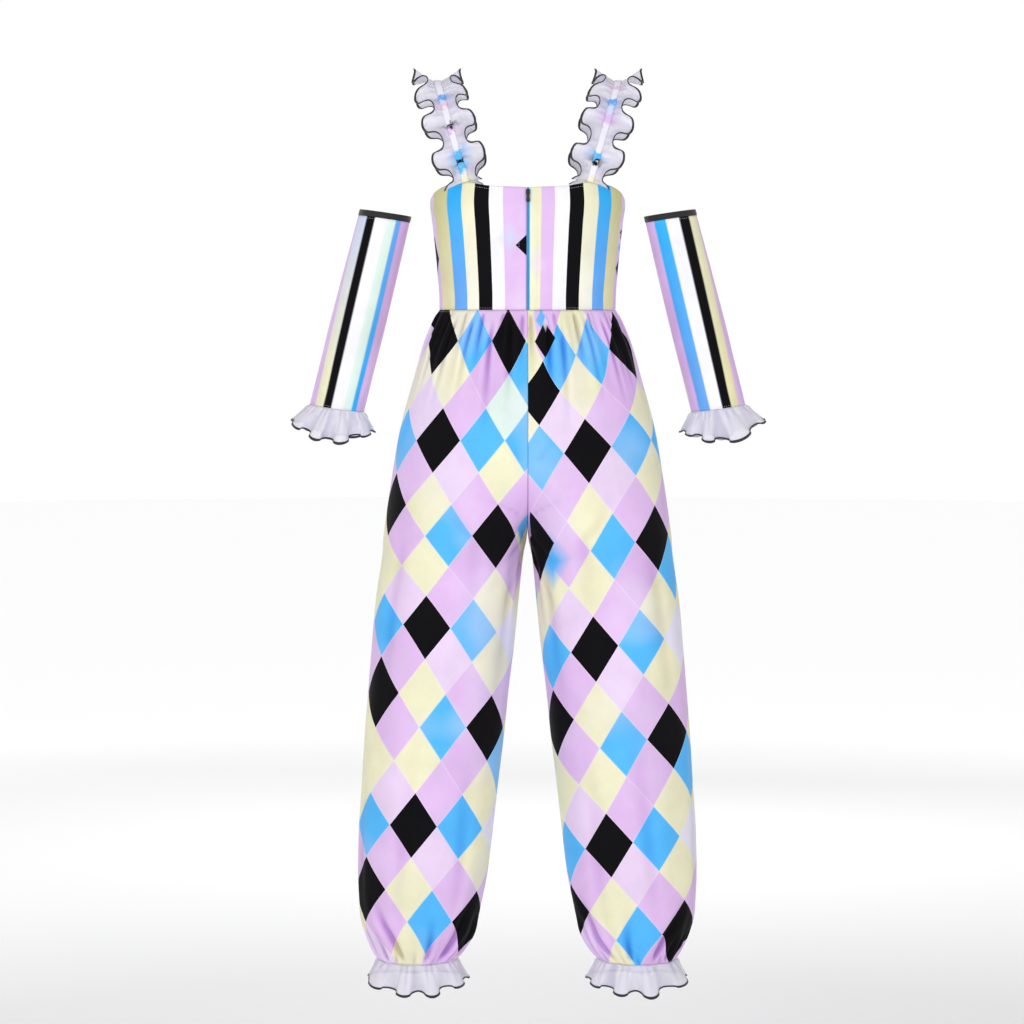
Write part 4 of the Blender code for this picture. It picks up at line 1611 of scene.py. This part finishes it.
@dataclass
class LegPanel:
    """A back or a front panel of a harem leg, gathered into the waist and into the ankle."""

    side: Side
    facing: Facing
    folds: int = 6
    trough_share: float = 0.6
    nudges: tuple[float, float] = (0.012, 0.009)
    rows: int = 190
    # Painted shade in the creases and gathers: the crease depth where it is fullest, and how much the
    # gathers' troughs count
    darkest: float = 0.004
    gather_shade: float = 0.35
    print_hold: float = 0.5
    calm_side: float = 0.03
    row_bunching: float = 0.055
    drift_back: float = -1.4
    drift_at_end: float = 1.5
    waist_stitch: float = 0.0028
    ankle_stitch: float = 0.0024
    stitch: Vector = field(default_factory=lambda: Vector((0.0022, 0.0005, 0.0004)))
    stitch_pitch: float = 0.0034
    stitch_steps: int = 160
    waist_creases: tuple[Crease, ...] = pressed_from(
        WAIST_GATHERS_Z,
        (0.035, 0.05, -0.442, 0.0025, 0.0052, 0.0043), (0.115, 0.105, -0.505, 0.0029, 0.007, 0.0056),
        (0.17, 0.18, -0.411, 0.0022, 0.0044, 0.0036), (0.245, 0.225, -0.53, 0.0031, 0.0074, 0.0059),
        (0.33, 0.32, -0.428, 0.0025, 0.0052, 0.0043), (0.395, 0.415, -0.486, 0.0028, 0.0061, 0.0048),
        (0.48, 0.47, -0.4, 0.0022, 0.0044, 0.0035), (0.555, 0.58, -0.492, 0.0029, 0.0066, 0.0054),
        (0.64, 0.655, -0.416, 0.0023, 0.0048, 0.004), (0.725, 0.75, -0.476, 0.0028, 0.0061, 0.0048),
        (0.81, 0.815, -0.405, 0.0022, 0.0044, 0.0035), (0.885, 0.9, -0.455, 0.0026, 0.0057, 0.0043),
        (0.955, 0.95, -0.422, 0.0022, 0.0048, 0.0031),
    )
    long_creases: tuple[Crease, ...] = rows_of(
        Crease,
        (0.16, -0.64, 0.2, -1.02, 0.011, 0.0187, 0.0038),
        (0.42, -0.56, 0.37, -0.86, 0.0136, 0.0204, 0.0023),
        (0.74, -0.6, 0.8, -1.08, 0.0127, 0.0195, 0.003),
        (0.07, -0.7, 0.12, -0.86, 0.0068, 0.0119, 0.0028),
        (0.3, -1.29, 0.33, -0.93, 0.0093, 0.0187, 0.0028),
        (0.62, -1.29, 0.57, -0.88, 0.0102, 0.0195, 0.0026),
        (0.88, -1.28, 0.9, -0.96, 0.0093, 0.017, 0.0028),
    )
    fork_creases: tuple[Crease, ...] = rows_of(
        Crease,
        (0.06, -0.668, 0.34, -0.735, 0.0072, 0.0144, 0.0029),
        (0.05, -0.64, 0.3, -0.6, 0.0072, 0.0135, 0.002),
        (0.04, -0.69, 0.22, -0.79, 0.0063, 0.0126, 0.0025),
        (0.03, -0.56, 0.16, -0.5, 0.0063, 0.0117, 0.0014),
    )
    ankle_creases: tuple[Crease, ...] = pressed_from(
        ANKLE_GATHERS_Z,
        (0.055, 0.075, -1.285, 0.0028, 0.006, 0.0026), (0.13, 0.118, -1.24, 0.0036, 0.0095, 0.0046),
        (0.226, 0.19, -1.262, 0.0034, 0.008, 0.004), (0.325, 0.165, -1.195, 0.0048, 0.014, 0.0082),
        (0.378, 0.352, -1.286, 0.0024, 0.005, 0.0026), (0.44, 0.42, -1.225, 0.004, 0.0115, 0.0052),
        (0.52, 0.522, -1.296, 0.0024, 0.005, 0.0024), (0.6, 0.79, -1.2, 0.0044, 0.0135, 0.0074),
        (0.668, 0.672, -1.286, 0.0026, 0.0056, 0.003), (0.752, 0.788, -1.25, 0.004, 0.011, 0.0056),
        (0.822, 0.83, -1.276, 0.003, 0.0066, 0.0034), (0.892, 0.915, -1.232, 0.0036, 0.0098, 0.0052),
        (0.958, 0.962, -1.286, 0.0026, 0.0056, 0.0026),
    )


    def __post_init__(self) -> None:
        """Name the panel and press its own creases, so that it looks like none of the others."""
        self.name = f"leg_{self.side.word}_{self.facing.word}"
        self.layout = PrintLayout(self.side, self.facing)
        shift, strength = CREASE_DRIFT[self.side, self.facing]
        moved = []
        creases = self.waist_creases + self.long_creases + self.fork_creases + self.ankle_creases
        for n, crease in enumerate(creases):
            wander = shift * (1 if n % 3 else self.drift_back)
            u, end_u = crease.u + wander, crease.end_u + self.drift_at_end * wander
            depth = crease.depth * (strength if n % 2 else 2 - strength)
            moved.append(crease._replace(u=u, end_u=end_u, depth=depth))
        self.relief = Relief(moved)

    def fold_shadow(self, u: float, z: float) -> float:
        """Return the gathers' even folds, a trough at each seam, with their crests nudged aside."""
        first, second = self.nudges
        nudged = u + first * sway(u) + second * sway(2 * u)
        return torso_at(GATHERS, z)[0] * (-self.trough_share - math.cos(math.tau * self.folds * nudged))

    def lift(self, u: float, z: float) -> float:
        """Return how far the creases raise the cloth at a place."""
        _, half_width, depth, seam_turn = leg_ring(z, self.facing)
        return self.relief.height(u, z, (half_width + depth) / 2 * seam_turn)

    def point(self, u: float, v: float) -> Vector:
        """Return a point of the gathered panel, clear of its neighbours by half a seam.

        Args:
            u: The place from the inner seam, 0, to the side seam, 1.
            v: The row, from the waist, 0, to the ankle, 1.

        Returns:
            The point.
        """
        return self.point_at(u, self.level(v))

    def point_at(self, u: float, z: float) -> Vector:
        """Return a point of the gathered panel at a height."""
        ahead = self.facing.value
        _, half_width, depth, seam_turn = leg_ring(z, self.facing)
        turn = seam_turn * (1 - u)
        outward = Vector((depth * math.cos(turn), ahead * half_width * math.sin(turn), 0)).normalized()
        lift = self.lift(u, z) * ease(min(u, 1 - u) / self.calm_side)
        point = smooth_leg_point(u, z, self.facing) + outward * (self.fold_shadow(u, z) + lift)
        point.x = self.side.value * max(point.x, SEAM / 2)
        point.y = ahead * max(ahead * point.y, SIDE_SEAM / 2)
        return point

    def chart(self, u: float, v: float) -> tuple[float, float]:
        """Return the place on the print of a point of the panel, whose folds hardly bend the print."""
        z = self.level(v)
        moved = self.point_at(u, z).x - self.side.value * smooth_leg_point(u, z, self.facing).x
        facing_out = math.sin(leg_ring(z, self.facing)[3] * (1 - u))
        return self.layout.place(u, z, moved * ease(facing_out / self.print_hold))

    def depth(self, u: float, v: float) -> float:
        """Return how deep in a crease or a gather a place lies, from 0 to 1, for the shade painted there.
        """
        z = self.level(v)
        sunk = -self.lift(u, z) - self.gather_shade * min(self.fold_shadow(u, z), 0.0)
        return min(max(sunk / self.darkest, 0.0), 1.0)

    def level(self, v: float) -> float:
        """Return the height of a row, with the rows closer at the waist and at the ankle."""
        return mix(TROUSERS[0].z, ANKLE_Z, v - self.row_bunching * sway(v))

    def build(self, room: Workroom) -> None:
        """Make the panel."""
        back = self.facing is Facing.BACK
        size = (PrintLayout.COLUMNS, self.rows)
        front = FORWARD * self.facing.value
        panel = room.cloth(
            f"{self.name}_cloth", self.point, size, front, CLOTH_WALL, self.chart, fold_shadow=self.depth
        )
        caught = CAUGHT_PRINT[self.side] if back else ()
        satin = DiamondSatin(f"{self.name}_diamonds", ODD_DIAMONDS[self.side], caught)
        room.book(panel, satin.material(), Slot.DIAMONDS, (self.name,))

    def lines(self) -> list[list[Vector]]:
        """Return the sewn lines that hold the gathers, over the ankle's edge and under the waist seam."""
        proud = FORWARD * self.facing.value * self.stitch.z * STITCH_LIFT
        places = [mix(0.01, 0.99, n / self.stitch_steps) for n in range(self.stitch_steps + 1)]
        heights = (ANKLE_Z + self.ankle_stitch, WAIST_Z - self.waist_stitch)
        return [[self.point_at(u, z) + proud for u in places] for z in heights]


def build_leg(room: Workroom, side: Side) -> None:
    """Make a leg's two panels and sew their gathers."""
    panels = [LegPanel(side, facing) for facing in Facing]
    for panel in panels:
        panel.build(room)
    lines = [line for panel in panels for line in panel.lines()]
    room.sew(f"leg_{side.word}", lines, panels[0].stitch, panels[0].stitch_pitch, Slot.DIAMONDS)


# Ruffles round a limb


@dataclass
class LimbRuffle:
    """A sheer ruffle sewn to the end of a limb, with a rolled black hem."""

    name: str
    hangs_from: str
    centre: Vector
    across: Vector
    down: Vector
    half_width: float
    half_depth: float
    flare: Flare
    flat: tuple[float, float]
    seed: float
    waves: int = 9
    columns_per_wave: int = 26
    rows: int = 22
    wander: tuple[float, float] = (0.16, 0.1)
    curl: float = 0.5
    curl_change: float = 0.34
    rounding: float = 0.13
    side_calm: float = 0.72
    side_drop_calm: float = 0.6
    hem_width: float = 0.0021
    hem_proud: float = 0.0005
    pleat: float = 0.0019
    pleat_pace: float = 2.7
    pleat_drag: float = 1.9
    curl_power: float = 1.3
    reach_power: float = 0.85
    drop_power: float = 1.5
    wave_power: float = 1.2
    pleat_power: float = 1.5

    def phase(self, u: float) -> float:
        """Return the phase of the waves, which come unevenly round the limb."""
        slow, quick = self.wander
        wander = slow * sway(2 * u, self.seed) + quick * sway(3 * u, 2.1 * self.seed)
        return math.tau * (self.waves * u + wander)

    def point(self, u: float, v: float) -> Vector:
        """Return a point of the ruffle's outer face.

        Args:
            u: The place once round the limb from the front.
            v: The place from the seam, 0, to the hem, 1.

        Returns:
            The point.
        """
        flare = self.flare
        phase = self.phase(u)
        curl = self.curl * (1 + self.curl_change * sway(3 * u, 1.7 * self.seed))
        turn = math.tau * u + curl * v**self.curl_power * math.sin(2 * phase) / self.waves
        lobe = math.cos(phase) + self.rounding * math.cos(3 * phase)
        side = math.sin(turn) ** 2
        reach = v**self.reach_power
        drop = mix(flare.drop_at_middle, flare.drop_at_side, abs(math.sin(turn)) ** self.drop_power)
        uneven = 1.0 + self.wander[0] * sway(2 * u, 3.3 * self.seed) + self.wander[1] * sway(5 * u)
        drop += flare.hem_sway * uneven * v * lobe * (1 - self.side_drop_calm * side)
        wave = flare.wave * uneven * v**self.wave_power * lobe * (1 - self.side_calm * side)
        fine = self.pleat * math.sin(math.pi * min(1.0, 3 * v)) * max(1 - v, 0.0) ** self.pleat_power
        wave += fine * pleats_at(phase, self.pleat_pace, self.pleat_drag, self.seed)
        width = self.half_width + flare.wider * reach + wave
        depth = self.half_depth + flare.deeper * reach + wave
        ring = self.centre + self.across * width * math.sin(turn) + FORWARD * depth * math.cos(turn)
        return ring + self.down * drop * v

    def point_round(self, u: float, v: float) -> Vector:
        """Return a point, which starts a second turn where u is past 1."""
        return self.point(u % 1.0 if u > 1.0 else u, v)

    def depth(self, u: float, v: float) -> float:
        """Return how deep in a bay or a pleat a place lies, from 0 to 1, for the shade painted there."""
        phase = self.phase(u)
        pleats = 0.5 - 0.5 * pleats_at(phase, self.pleat_pace, self.pleat_drag, self.seed)
        uneven = 0.75 + 0.25 * sway(4 * u, self.seed)
        bay = 0.5 - 0.5 * math.cos(phase)
        return uneven * min(pleats**3 * (1 - v) ** 0.8 + bay**2 * v**0.7, 1.0)

    def build(self, room: Workroom) -> None:
        """Make the ruffle and its hem."""
        columns = self.waves * self.columns_per_wave
        size = (columns, self.rows)
        name = f"{self.name}_organza"
        frill = room.cloth(name, self.point_round, size, -FORWARD, FRILL_WALL, closed=True, fold_shadow=self.depth)
        room.book(frill, Organza(f"{self.name}_sheer").material(), Slot.ORGANZA, (self.name,))
        fall = mix(self.flare.drop_at_middle, self.flare.drop_at_side, 0.5)
        start, end = 1 - self.hem_width / fall, 1 + self.hem_proud / fall
        edge = [lambda u, v: self.point_round(u, mix(start, end, v))]
        name = f"{self.name}_hem"
        hem = room.binding(name, edge, columns, -FORWARD, FRILL_WALL, self.hem_proud, closed=True)
        room.book(hem, Thread(f"{self.name}_hem_thread", Shade.HEM).material(), Slot.BINDING)


# Sleeves


@dataclass
class Sleeve:
    """A loose sleeve: a striped tube, its black elastic band and the ruffle at its foot."""

    side: Side
    top: Vector = field(default_factory=lambda: Vector((0.2118, 0, -0.194)))
    foot: Vector = field(default_factory=lambda: Vector((0.2858, 0, -0.4844)))
    ring_tilt: float = math.radians(8.2)
    band_height: float = 0.009
    band_thickness: float = 0.002
    solid_wall: float = 0.0013
    columns: int = 96
    rows: int = 84
    band_rows: int = 8
    band_wall_share: float = 0.8
    bulge: float = 0.00035
    flare: Flare = Flare(0.0225, 0.018, 0.027, 0.049, 0.0082, 0.003)
    stitch: Vector = field(default_factory=lambda: Vector((0.002, 0.0005, 0.0004)))
    stitch_pitch: float = 0.0032
    stitch_steps: int = 120
    stitch_margin: float = 0.009
    creases: tuple[Crease, ...] = rows_of(
        Crease,
        (0.52, 0.03, 0.49, 0.42, 0.004, 0.009, 0.0008), (0.66, 0.4, 0.72, 0.86, 0.005, 0.01, 0.0012),
        (0.36, 0.3, 0.31, 0.74, 0.005, 0.01, 0.0011), (0.46, 1.00, 0.47, 0.66, 0.0034, 0.009, 0.0014),
        (0.57, 1.00, 0.59, 0.74, 0.0034, 0.008, 0.0013), (0.38, 1.00, 0.35, 0.72, 0.0034, 0.008, 0.0012),
        (0.7, 1.00, 0.69, 0.78, 0.003, 0.007, 0.0011), (0.26, 1.00, 0.25, 0.7, 0.0032, 0.008, 0.0012),
        (0.12, 1.00, 0.14, 0.7, 0.0034, 0.008, 0.0013), (0.88, 1.00, 0.86, 0.72, 0.0034, 0.008, 0.0013),
        (0.14, 0.1, 0.1, 0.6, 0.005, 0.01, 0.0011), (0.86, 0.16, 0.9, 0.64, 0.005, 0.01, 0.001),
    )

    def __post_init__(self) -> None:
        """Work out the sleeve's length and press its creases."""
        self.length = (self.foot - self.top).length
        self.relief = Relief(self.creases)

    def frame(self, share: float) -> tuple[Vector, Vector, Vector]:
        """Return a ring's centre, the direction of its width and the sleeve's own downward direction."""
        down = self.foot - self.top
        centre = self.top + down * share
        across = Vector((-math.cos(self.ring_tilt), 0, -math.sin(self.ring_tilt)))
        mirror = Matrix.Diagonal((self.side.value, 1, 1))
        return mirror @ centre, mirror @ across, (mirror @ down).normalized()

    def point(self, u: float, share: float, outset: float = 0.0, creased: bool = True) -> Vector:
        """Return a point of a sleeve ring.

        Args:
            u: The place once round from the hidden seam at the front.
            share: The way down the sleeve.
            outset: How far outside the sleeve's face.
            creased: Whether the creases count.

        Returns:
            The point.
        """
        half_width, half_depth = torso_at(SLEEVE, share)
        centre, across, _ = self.frame(share)
        if creased:
            outset += self.relief.height(u % 1.0, share, math.tau * half_width)
        width, depth = half_width + outset, half_depth + outset
        return centre + across * width * math.sin(math.tau * u) + FORWARD * depth * math.cos(math.tau * u)

    def chart(self, u: float, share: float) -> tuple[float, float]:
        """Return the place on the print of a point of the tube."""
        seen = self.side.value * arc_share((u - 0.5) * math.tau)
        (top_slope, top_shift), (foot_slope, foot_shift) = SLEEVE_LIE[self.side]
        return mix(top_slope, foot_slope, share) * seen + mix(top_shift, foot_shift, share), share

    def build(self, room: Workroom) -> None:
        """Make the band, the tube, the ruffle and the stitches."""
        word = self.side.word
        band_share = self.band_height / self.length
        gap = SEAM / self.length
        proud = self.band_thickness - self.solid_wall
        band = room.cloth(
            f"sleeve_band_{word}_elastic",
            lambda u, v: self.point(u, v * band_share, proud - self.bulge * abs(2 * v - 1) ** 3, False),
            (self.columns, self.band_rows),
            -FORWARD,
            self.band_thickness * self.band_wall_share,
            closed=True,
        )
        elastic = RibbedElastic(f"sleeve_band_{word}_rib").material()
        room.book(band, elastic, Slot.BINDING, (f"sleeve_band_{word}",))
        tube = room.cloth(
            f"sleeve_{word}_cloth",
            lambda u, v: self.point(u, mix(band_share + gap, 1, v)),
            (self.columns, self.rows),
            -FORWARD,
            CLOTH_WALL,
            lambda u, v: self.chart(u, mix(band_share + gap, 1, v)),
            closed=True,
        )
        satin = StripedSatin(f"sleeve_{word}_stripes", SLEEVE_STRIPES[self.side], -2.6, 2.6, soft=0.006)
        room.book(tube, satin.material(), Slot.STRIPES, (f"sleeve_{word}",))
        half_width, half_depth = torso_at(SLEEVE, 1.0)
        centre, across, down = self.frame(1 + gap)
        LimbRuffle(
            name=f"sleeve_ruffle_{word}",
            hangs_from=f"sleeve_{word}_cloth",
            centre=centre,
            across=across,
            down=down,
            half_width=half_width,
            half_depth=half_depth,
            flare=self.flare,
            flat=(0.42, 0.043),
            curl=0.62,
            seed=0.7 if self.side is Side.LEFT else 2.3,
        ).build(room)
        self.sew(room, band_share)

    def sew(self, room: Workroom, band_share: float) -> None:
        """Sew the line under the band and the one above the ruffle.

        Args:
            room: The workroom.
            band_share: Where the band ends.
        """
        proud, steps = self.stitch.z * STITCH_LIFT, self.stitch_steps
        shares = (band_share + self.stitch_margin, 1 - self.stitch_margin)
        lines = [[self.point(n / steps, share, proud) for n in range(steps + 1)] for share in shares]
        room.sew(f"sleeve_{self.side.word}", lines, self.stitch, self.stitch_pitch, Slot.STRIPES)


# Straps


@dataclass
class Strap:
    """A shoulder strap: a narrow printed band on the middle of a sheer frill with rolled black hems."""

    side: Side
    band_half_width: float = 0.005
    band_wall: float = 0.001
    solid_frill: float = 0.0011
    solid_band: float = 0.0012
    crown: float = 0.0004
    base_u: float = 0.44
    crest_x: float = 0.1344
    wing: float = 0.034
    wing_tilt: float = math.radians(26)
    wing_swing: float = math.radians(31)
    bay_shortening: float = 0.44
    waves: int = 8
    wave_length: float = 0.05
    crest_slack: float = 0.15
    calm_share: float = 0.11
    crest_lobe: float = -0.2
    skew: float = 0.1
    curl: float = 0.6
    droop: float = 0.001
    bay_sag: float = 0.0105
    pleat: float = 0.0009
    pleat_pace: float = 3.3
    pleat_drag: float = 1.7
    # How strongly shade is painted in the frill's pleats and in its bays
    pleat_shade: float = 0.8
    bay_shade: float = 0.7
    hook_size: tuple[float, float] = (0.85, 0.15)
    lean: float = 0.22
    wander: float = 0.18
    wander_turns: float = 2.55
    wander_start: float = 1.3
    flat_half: float = 0.006
    flat_share: float = 0.16
    foot_share: float = 0.035
    foot_calm: float = 0.04
    chest_half_width: float = 0.142
    print_slant: float = 0.012
    path_step: float = 0.004
    steps: int = 320
    columns: int = 50
    band_grid: tuple[int, int] = (6, 160)
    hem_width: float = 0.0028
    hem_proud: float = 0.0005
    stitch_margin: float = 0.12
    stitch: Vector = field(default_factory=lambda: Vector((0.0018, 0.0004, 0.0003)))
    stitch_pitch: float = 0.003

    def path(self, t: float) -> Vector:
        """Return the strap's underside at t, from the back's top edge, 0, to the front's, 1."""
        facing = Facing.BACK if t < 0.5 else Facing.FRONT
        base_z = top_edge(self.base_u) + SEAM
        foot = bodice_ring(base_z, self.base_u * math.pi / 2, facing)
        rise = math.sin(math.pi * t)
        x, y = self.side.value * mix(foot.x, self.crest_x, rise), -abs(foot.y) * math.cos(math.pi * t)
        return Vector((x, y, mix(base_z, 0.0, rise)))

    def frame(self, t: float) -> tuple[Vector, Vector, Vector, Vector]:
        """Return the point at t, the directions of the width, away from the shoulder, and forward."""
        low, high = max(t - self.path_step, 0), min(t + self.path_step, 1)
        forward = (self.path(high) - self.path(low)).normalized()
        across = (RIGHTWARD - forward * forward.x).normalized()
        return self.path(t), across, across.cross(forward), forward

    def band_point(self, u: float, t: float) -> Vector:
        """Return a point of the printed band's outer face, slightly crowned."""
        point, across, away, _ = self.frame(t)
        rise = self.solid_frill + SEAM + self.solid_band - self.crown * (2 * u - 1) ** 2
        return point + across * mix(-self.band_half_width, self.band_half_width, u) + away * rise

    def phase(self, sign: int, t: float) -> float:
        """Return the phase of one wing's waves at t; the two wings' waves don't match."""
        way = abs(2 * t - 1)
        lean = self.lean * sign * self.side.value
        fall = 1 - math.cos(math.pi / 2 * way)
        phase = math.pi * self.waves * mix(way, fall, self.crest_slack) + lean * ease(way * 3)
        return phase + self.wander * math.sin(math.tau * self.wander_turns * way + self.wander_start * sign)

    def depth(self, u: float, t: float) -> float:
        """Return how deep in a bay or a pleat a place of the frill lies, from 0 to 1, for the shade painted
        there.
        """
        sign = 1 if u > 0.5 else -1
        share = abs(2 * u - 1)
        phase = self.phase(sign, t)
        pleats = 0.5 + 0.5 * pleats_at(phase, self.pleat_pace, self.pleat_drag, sign)
        bay = 0.5 - 0.5 * math.sin(phase)
        in_pleat = self.pleat_shade * pleats**3 * max(1 - share, 0.0) * min(1.0, 5 * share)
        return min(in_pleat + self.bay_shade * bay**2 * share, 1.0)

    def frill_point(self, u: float, t: float) -> Vector:
        """Return a point of the frill's outer face.

        Args:
            u: The place across both wings.
            t: The place along the strap.

        Returns:
            The point.
        """
        point, across, away, forward = self.frame(t)
        sign = 1 if u > 0.5 else -1
        reach = abs(2 * u - 1)
        if reach <= self.flat_share:
            aside = self.flat_half * reach / self.flat_share
            return point + away * self.solid_frill + across * sign * aside
        share = (reach - self.flat_share) / (1 - self.flat_share)
        length = self.wing * share
        phase = self.phase(sign, t)
        calm = 1 - ease(abs(2 * t - 1) / self.calm_share)
        lobe = mix(math.sin(phase - self.skew * math.sin(phase)), self.crest_lobe, calm)
        tilt = self.wing_tilt - self.wing_swing * lobe * min(1.0, 1.5 * share)
        bay = (1 - lobe) / 2 * (1 - calm)
        length *= 1 - self.bay_shortening * share * bay**0.8
        heading = 1 if t > 0.5 else -1
        hook = -math.sin(2 * phase) * (self.hook_size[0] - self.hook_size[1] * math.cos(phase))
        slide = self.curl * self.wave_length / math.tau * share**1.4 * hook
        slide += share**2 * mix(self.droop, self.bay_sag, bay)
        slide *= heading * ease(min(t, 1 - t) / self.foot_calm) * (1 - calm)
        ripple = self.pleat * max(1 - share, 0.0) ** 2 * min(1.0, 6 * share)
        ripple *= pleats_at(phase, self.pleat_pace, self.pleat_drag, sign)
        spot = (
            point
            + away * (self.solid_frill + length * math.sin(tilt) + ripple)
            + across * sign * (self.flat_half + length * math.cos(tilt))
            + forward * slide
        )
        foot = 1 - ease(min(t, 1 - t) / self.foot_share)
        if foot > 0:
            turn_share = 2 / math.pi * math.asin(min(abs(spot.x) / self.chest_half_width, 1.0))
            spot.z += foot * min(top_edge(turn_share) - top_edge(self.base_u), 0.0) * min(1.0, 2 * share)
        return spot

    def build(self, room: Workroom) -> None:
        """Make the band, the frill, the hems and the stitches."""
        word = self.side.word
        band = room.cloth(
            f"strap_{word}_cloth",
            self.band_point,
            self.band_grid,
            UP,
            self.band_wall,
            lambda u, v: (abs(2 * v - 1) + self.print_slant * (u - 0.5), 0.0),
        )
        printed = STRAP_PRINT[self.side]
        satin = StripedSatin(f"strap_{word}_print", printed, 0.0, 1.0, smudge=0.022, soft=0.016)
        room.book(band, satin.material(), Slot.STRIPES, (f"strap_{word}",))
        frill = room.cloth(
            f"strap_ruffle_{word}_organza",
            self.frill_point,
            (self.columns, self.steps),
            UP,
            FRILL_WALL,
            lambda u, v: (abs(2 * u - 1), abs(2 * v - 1)),
            fold_shadow=self.depth,
        )
        organza = Organza(f"strap_ruffle_{word}_sheer", printed).material()
        room.book(frill, organza, Slot.ORGANZA, (f"strap_ruffle_{word}",))
        full = 2 * (self.wing + self.flat_half)
        inner, outer = 1 - self.hem_width / full, 1 + self.hem_proud / full
        edges = [
            lambda u, v: self.frill_point(mix(inner, outer, v), u),
            lambda u, v: self.frill_point(1 - mix(inner, outer, v), u),
        ]
        hem = room.binding(f"strap_ruffle_{word}_hem", edges, self.steps, UP, FRILL_WALL, self.hem_proud)
        room.book(hem, Thread(f"strap_{word}_hem_thread", Shade.HEM).material(), Slot.BINDING)
        edges = (self.stitch_margin, 1 - self.stitch_margin)
        lines = [[self.band_point(u, n / self.steps) for n in range(self.steps + 1)] for u in edges]
        room.sew(f"strap_{word}", lines, self.stitch, self.stitch_pitch, Slot.STRIPES)


# The studio


@dataclass
class Studio:
    """A wide pale floor, soft white light all round and the camera."""

    floor_radius: float = 16.0
    floor_sides: int = 96
    ambient: float = 0.43
    middle: Vector = field(default_factory=lambda: Vector((0, 0, -0.65)))

    def build(self, room: Workroom) -> None:
        """Make the floor, the lights, the white round them and the camera."""
        form = bmesh.new()
        bmesh.ops.create_circle(form, cap_ends=True, segments=self.floor_sides, radius=self.floor_radius)
        bmesh.ops.translate(form, verts=form.verts, vec=Vector((0, 0, FLOOR_Z)))
        floor = room.hang("studio_floor", form)
        floor.data.materials.append(StudioPaper("studio_paper").material())
        for name, place, size, power in (
            ("key", (-1.7, -3.4, 0.8), 2.2, 45.0), ("fill", (2.1, -3.4, 0.3), 2.6, 26.5),
            ("top", (0.0, -0.2, 2.0), 2.2, 7.0), ("low", (0.0, -3.0, -1.0), 1.6, 8.0),
            ("rear", (0.4, 3.4, 0.5), 2.4, 34.0), ("rear_fill", (-2.4, 2.4, 0.2), 2.0, 12.0),
        ):
            self.light(name, Vector(place), size, power)
        bpy.context.scene.world = self.surroundings()
        bpy.context.scene.view_settings.view_transform = "Standard"
        camera = bpy.data.cameras.new("camera")
        camera.lens = LENS_MM
        camera.sensor_width = SENSOR_MM
        holder = bpy.data.objects.new("camera", camera)
        holder.location = EYE
        holder.rotation_euler = (math.pi / 2 - EYE_PITCH, 0.0, 0.0)
        bpy.context.scene.collection.objects.link(holder)
        bpy.context.scene.camera = holder

    def surroundings(self) -> bpy.types.World:
        """Return the white studio round the costume: clear white to look at, and dimmer as a light."""
        world = bpy.data.worlds.new("studio")
        world.use_nodes = True
        tree = world.node_tree
        dim = tree.nodes["Background"]
        clear = tree.nodes.new("ShaderNodeBackground")
        for background, strength in ((dim, self.ambient), (clear, 1.0)):
            background.inputs[0].default_value = (1.0, 1.0, 1.0, 1.0)
            background.inputs[1].default_value = strength
        mixed = tree.nodes.new("ShaderNodeMixShader")
        path = tree.nodes.new("ShaderNodeLightPath")
        tree.links.new(path.outputs["Is Camera Ray"], mixed.inputs[0])
        tree.links.new(dim.outputs[0], mixed.inputs[1])
        tree.links.new(clear.outputs[0], mixed.inputs[2])
        tree.links.new(mixed.outputs[0], tree.nodes["World Output"].inputs[0])
        return world

    def light(self, name: str, place: Vector, size: float, power: float) -> None:
        """Hang a square soft light that looks at the middle of the costume.

        Args:
            name: The light's name.
            place: Where it hangs.
            size: The length of its sides.
            power: Its power in watts.
        """
        lamp = bpy.data.lights.new(name, "AREA")
        lamp.shape = "SQUARE"
        lamp.size = size
        lamp.energy = power
        holder = bpy.data.objects.new(name, lamp)
        holder.location = place
        holder.rotation_euler = (self.middle - place).to_track_quat("-Z", "Y").to_euler()
        bpy.context.scene.collection.objects.link(holder)


def ankle_ruffle(side: Side) -> LimbRuffle:
    """Return the ruffle of one ankle."""
    centre_x, half_width, half_depth = torso_at(LEG, ANKLE_Z)
    return LimbRuffle(
        name=f"ankle_ruffle_{side.word}",
        hangs_from=f"leg_{side.word}_back_cloth",
        centre=Vector((side.value * centre_x, 0, ANKLE_Z - SEAM)),
        across=RIGHTWARD,
        down=-UP,
        half_width=half_width,
        half_depth=half_depth,
        flare=Flare(0.0165, 0.0195, 0.0305, 0.0405, 0.0088, 0.003),
        flat=(0.53, 0.038),
        seed=1.1 if side is Side.LEFT else 4.6,
    )


def main() -> None:
    """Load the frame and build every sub-assembly in order."""
    logging.basicConfig(level=logging.INFO, format="%(name)s: %(message)s")
    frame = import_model()
    collection = bpy.data.collections.new("costume")
    bpy.context.scene.collection.children.link(collection)
    room = Workroom(collection)
    Studio().build(room)
    Bodice().build(room)
    Zip().build(room, frame)
    for side in Side:
        build_leg(room, side)
    for side in Side:
        ankle_ruffle(side).build(room)
        Sleeve(side).build(room)
        Strap(side).build(room)


if __name__ == "__main__":
    main()
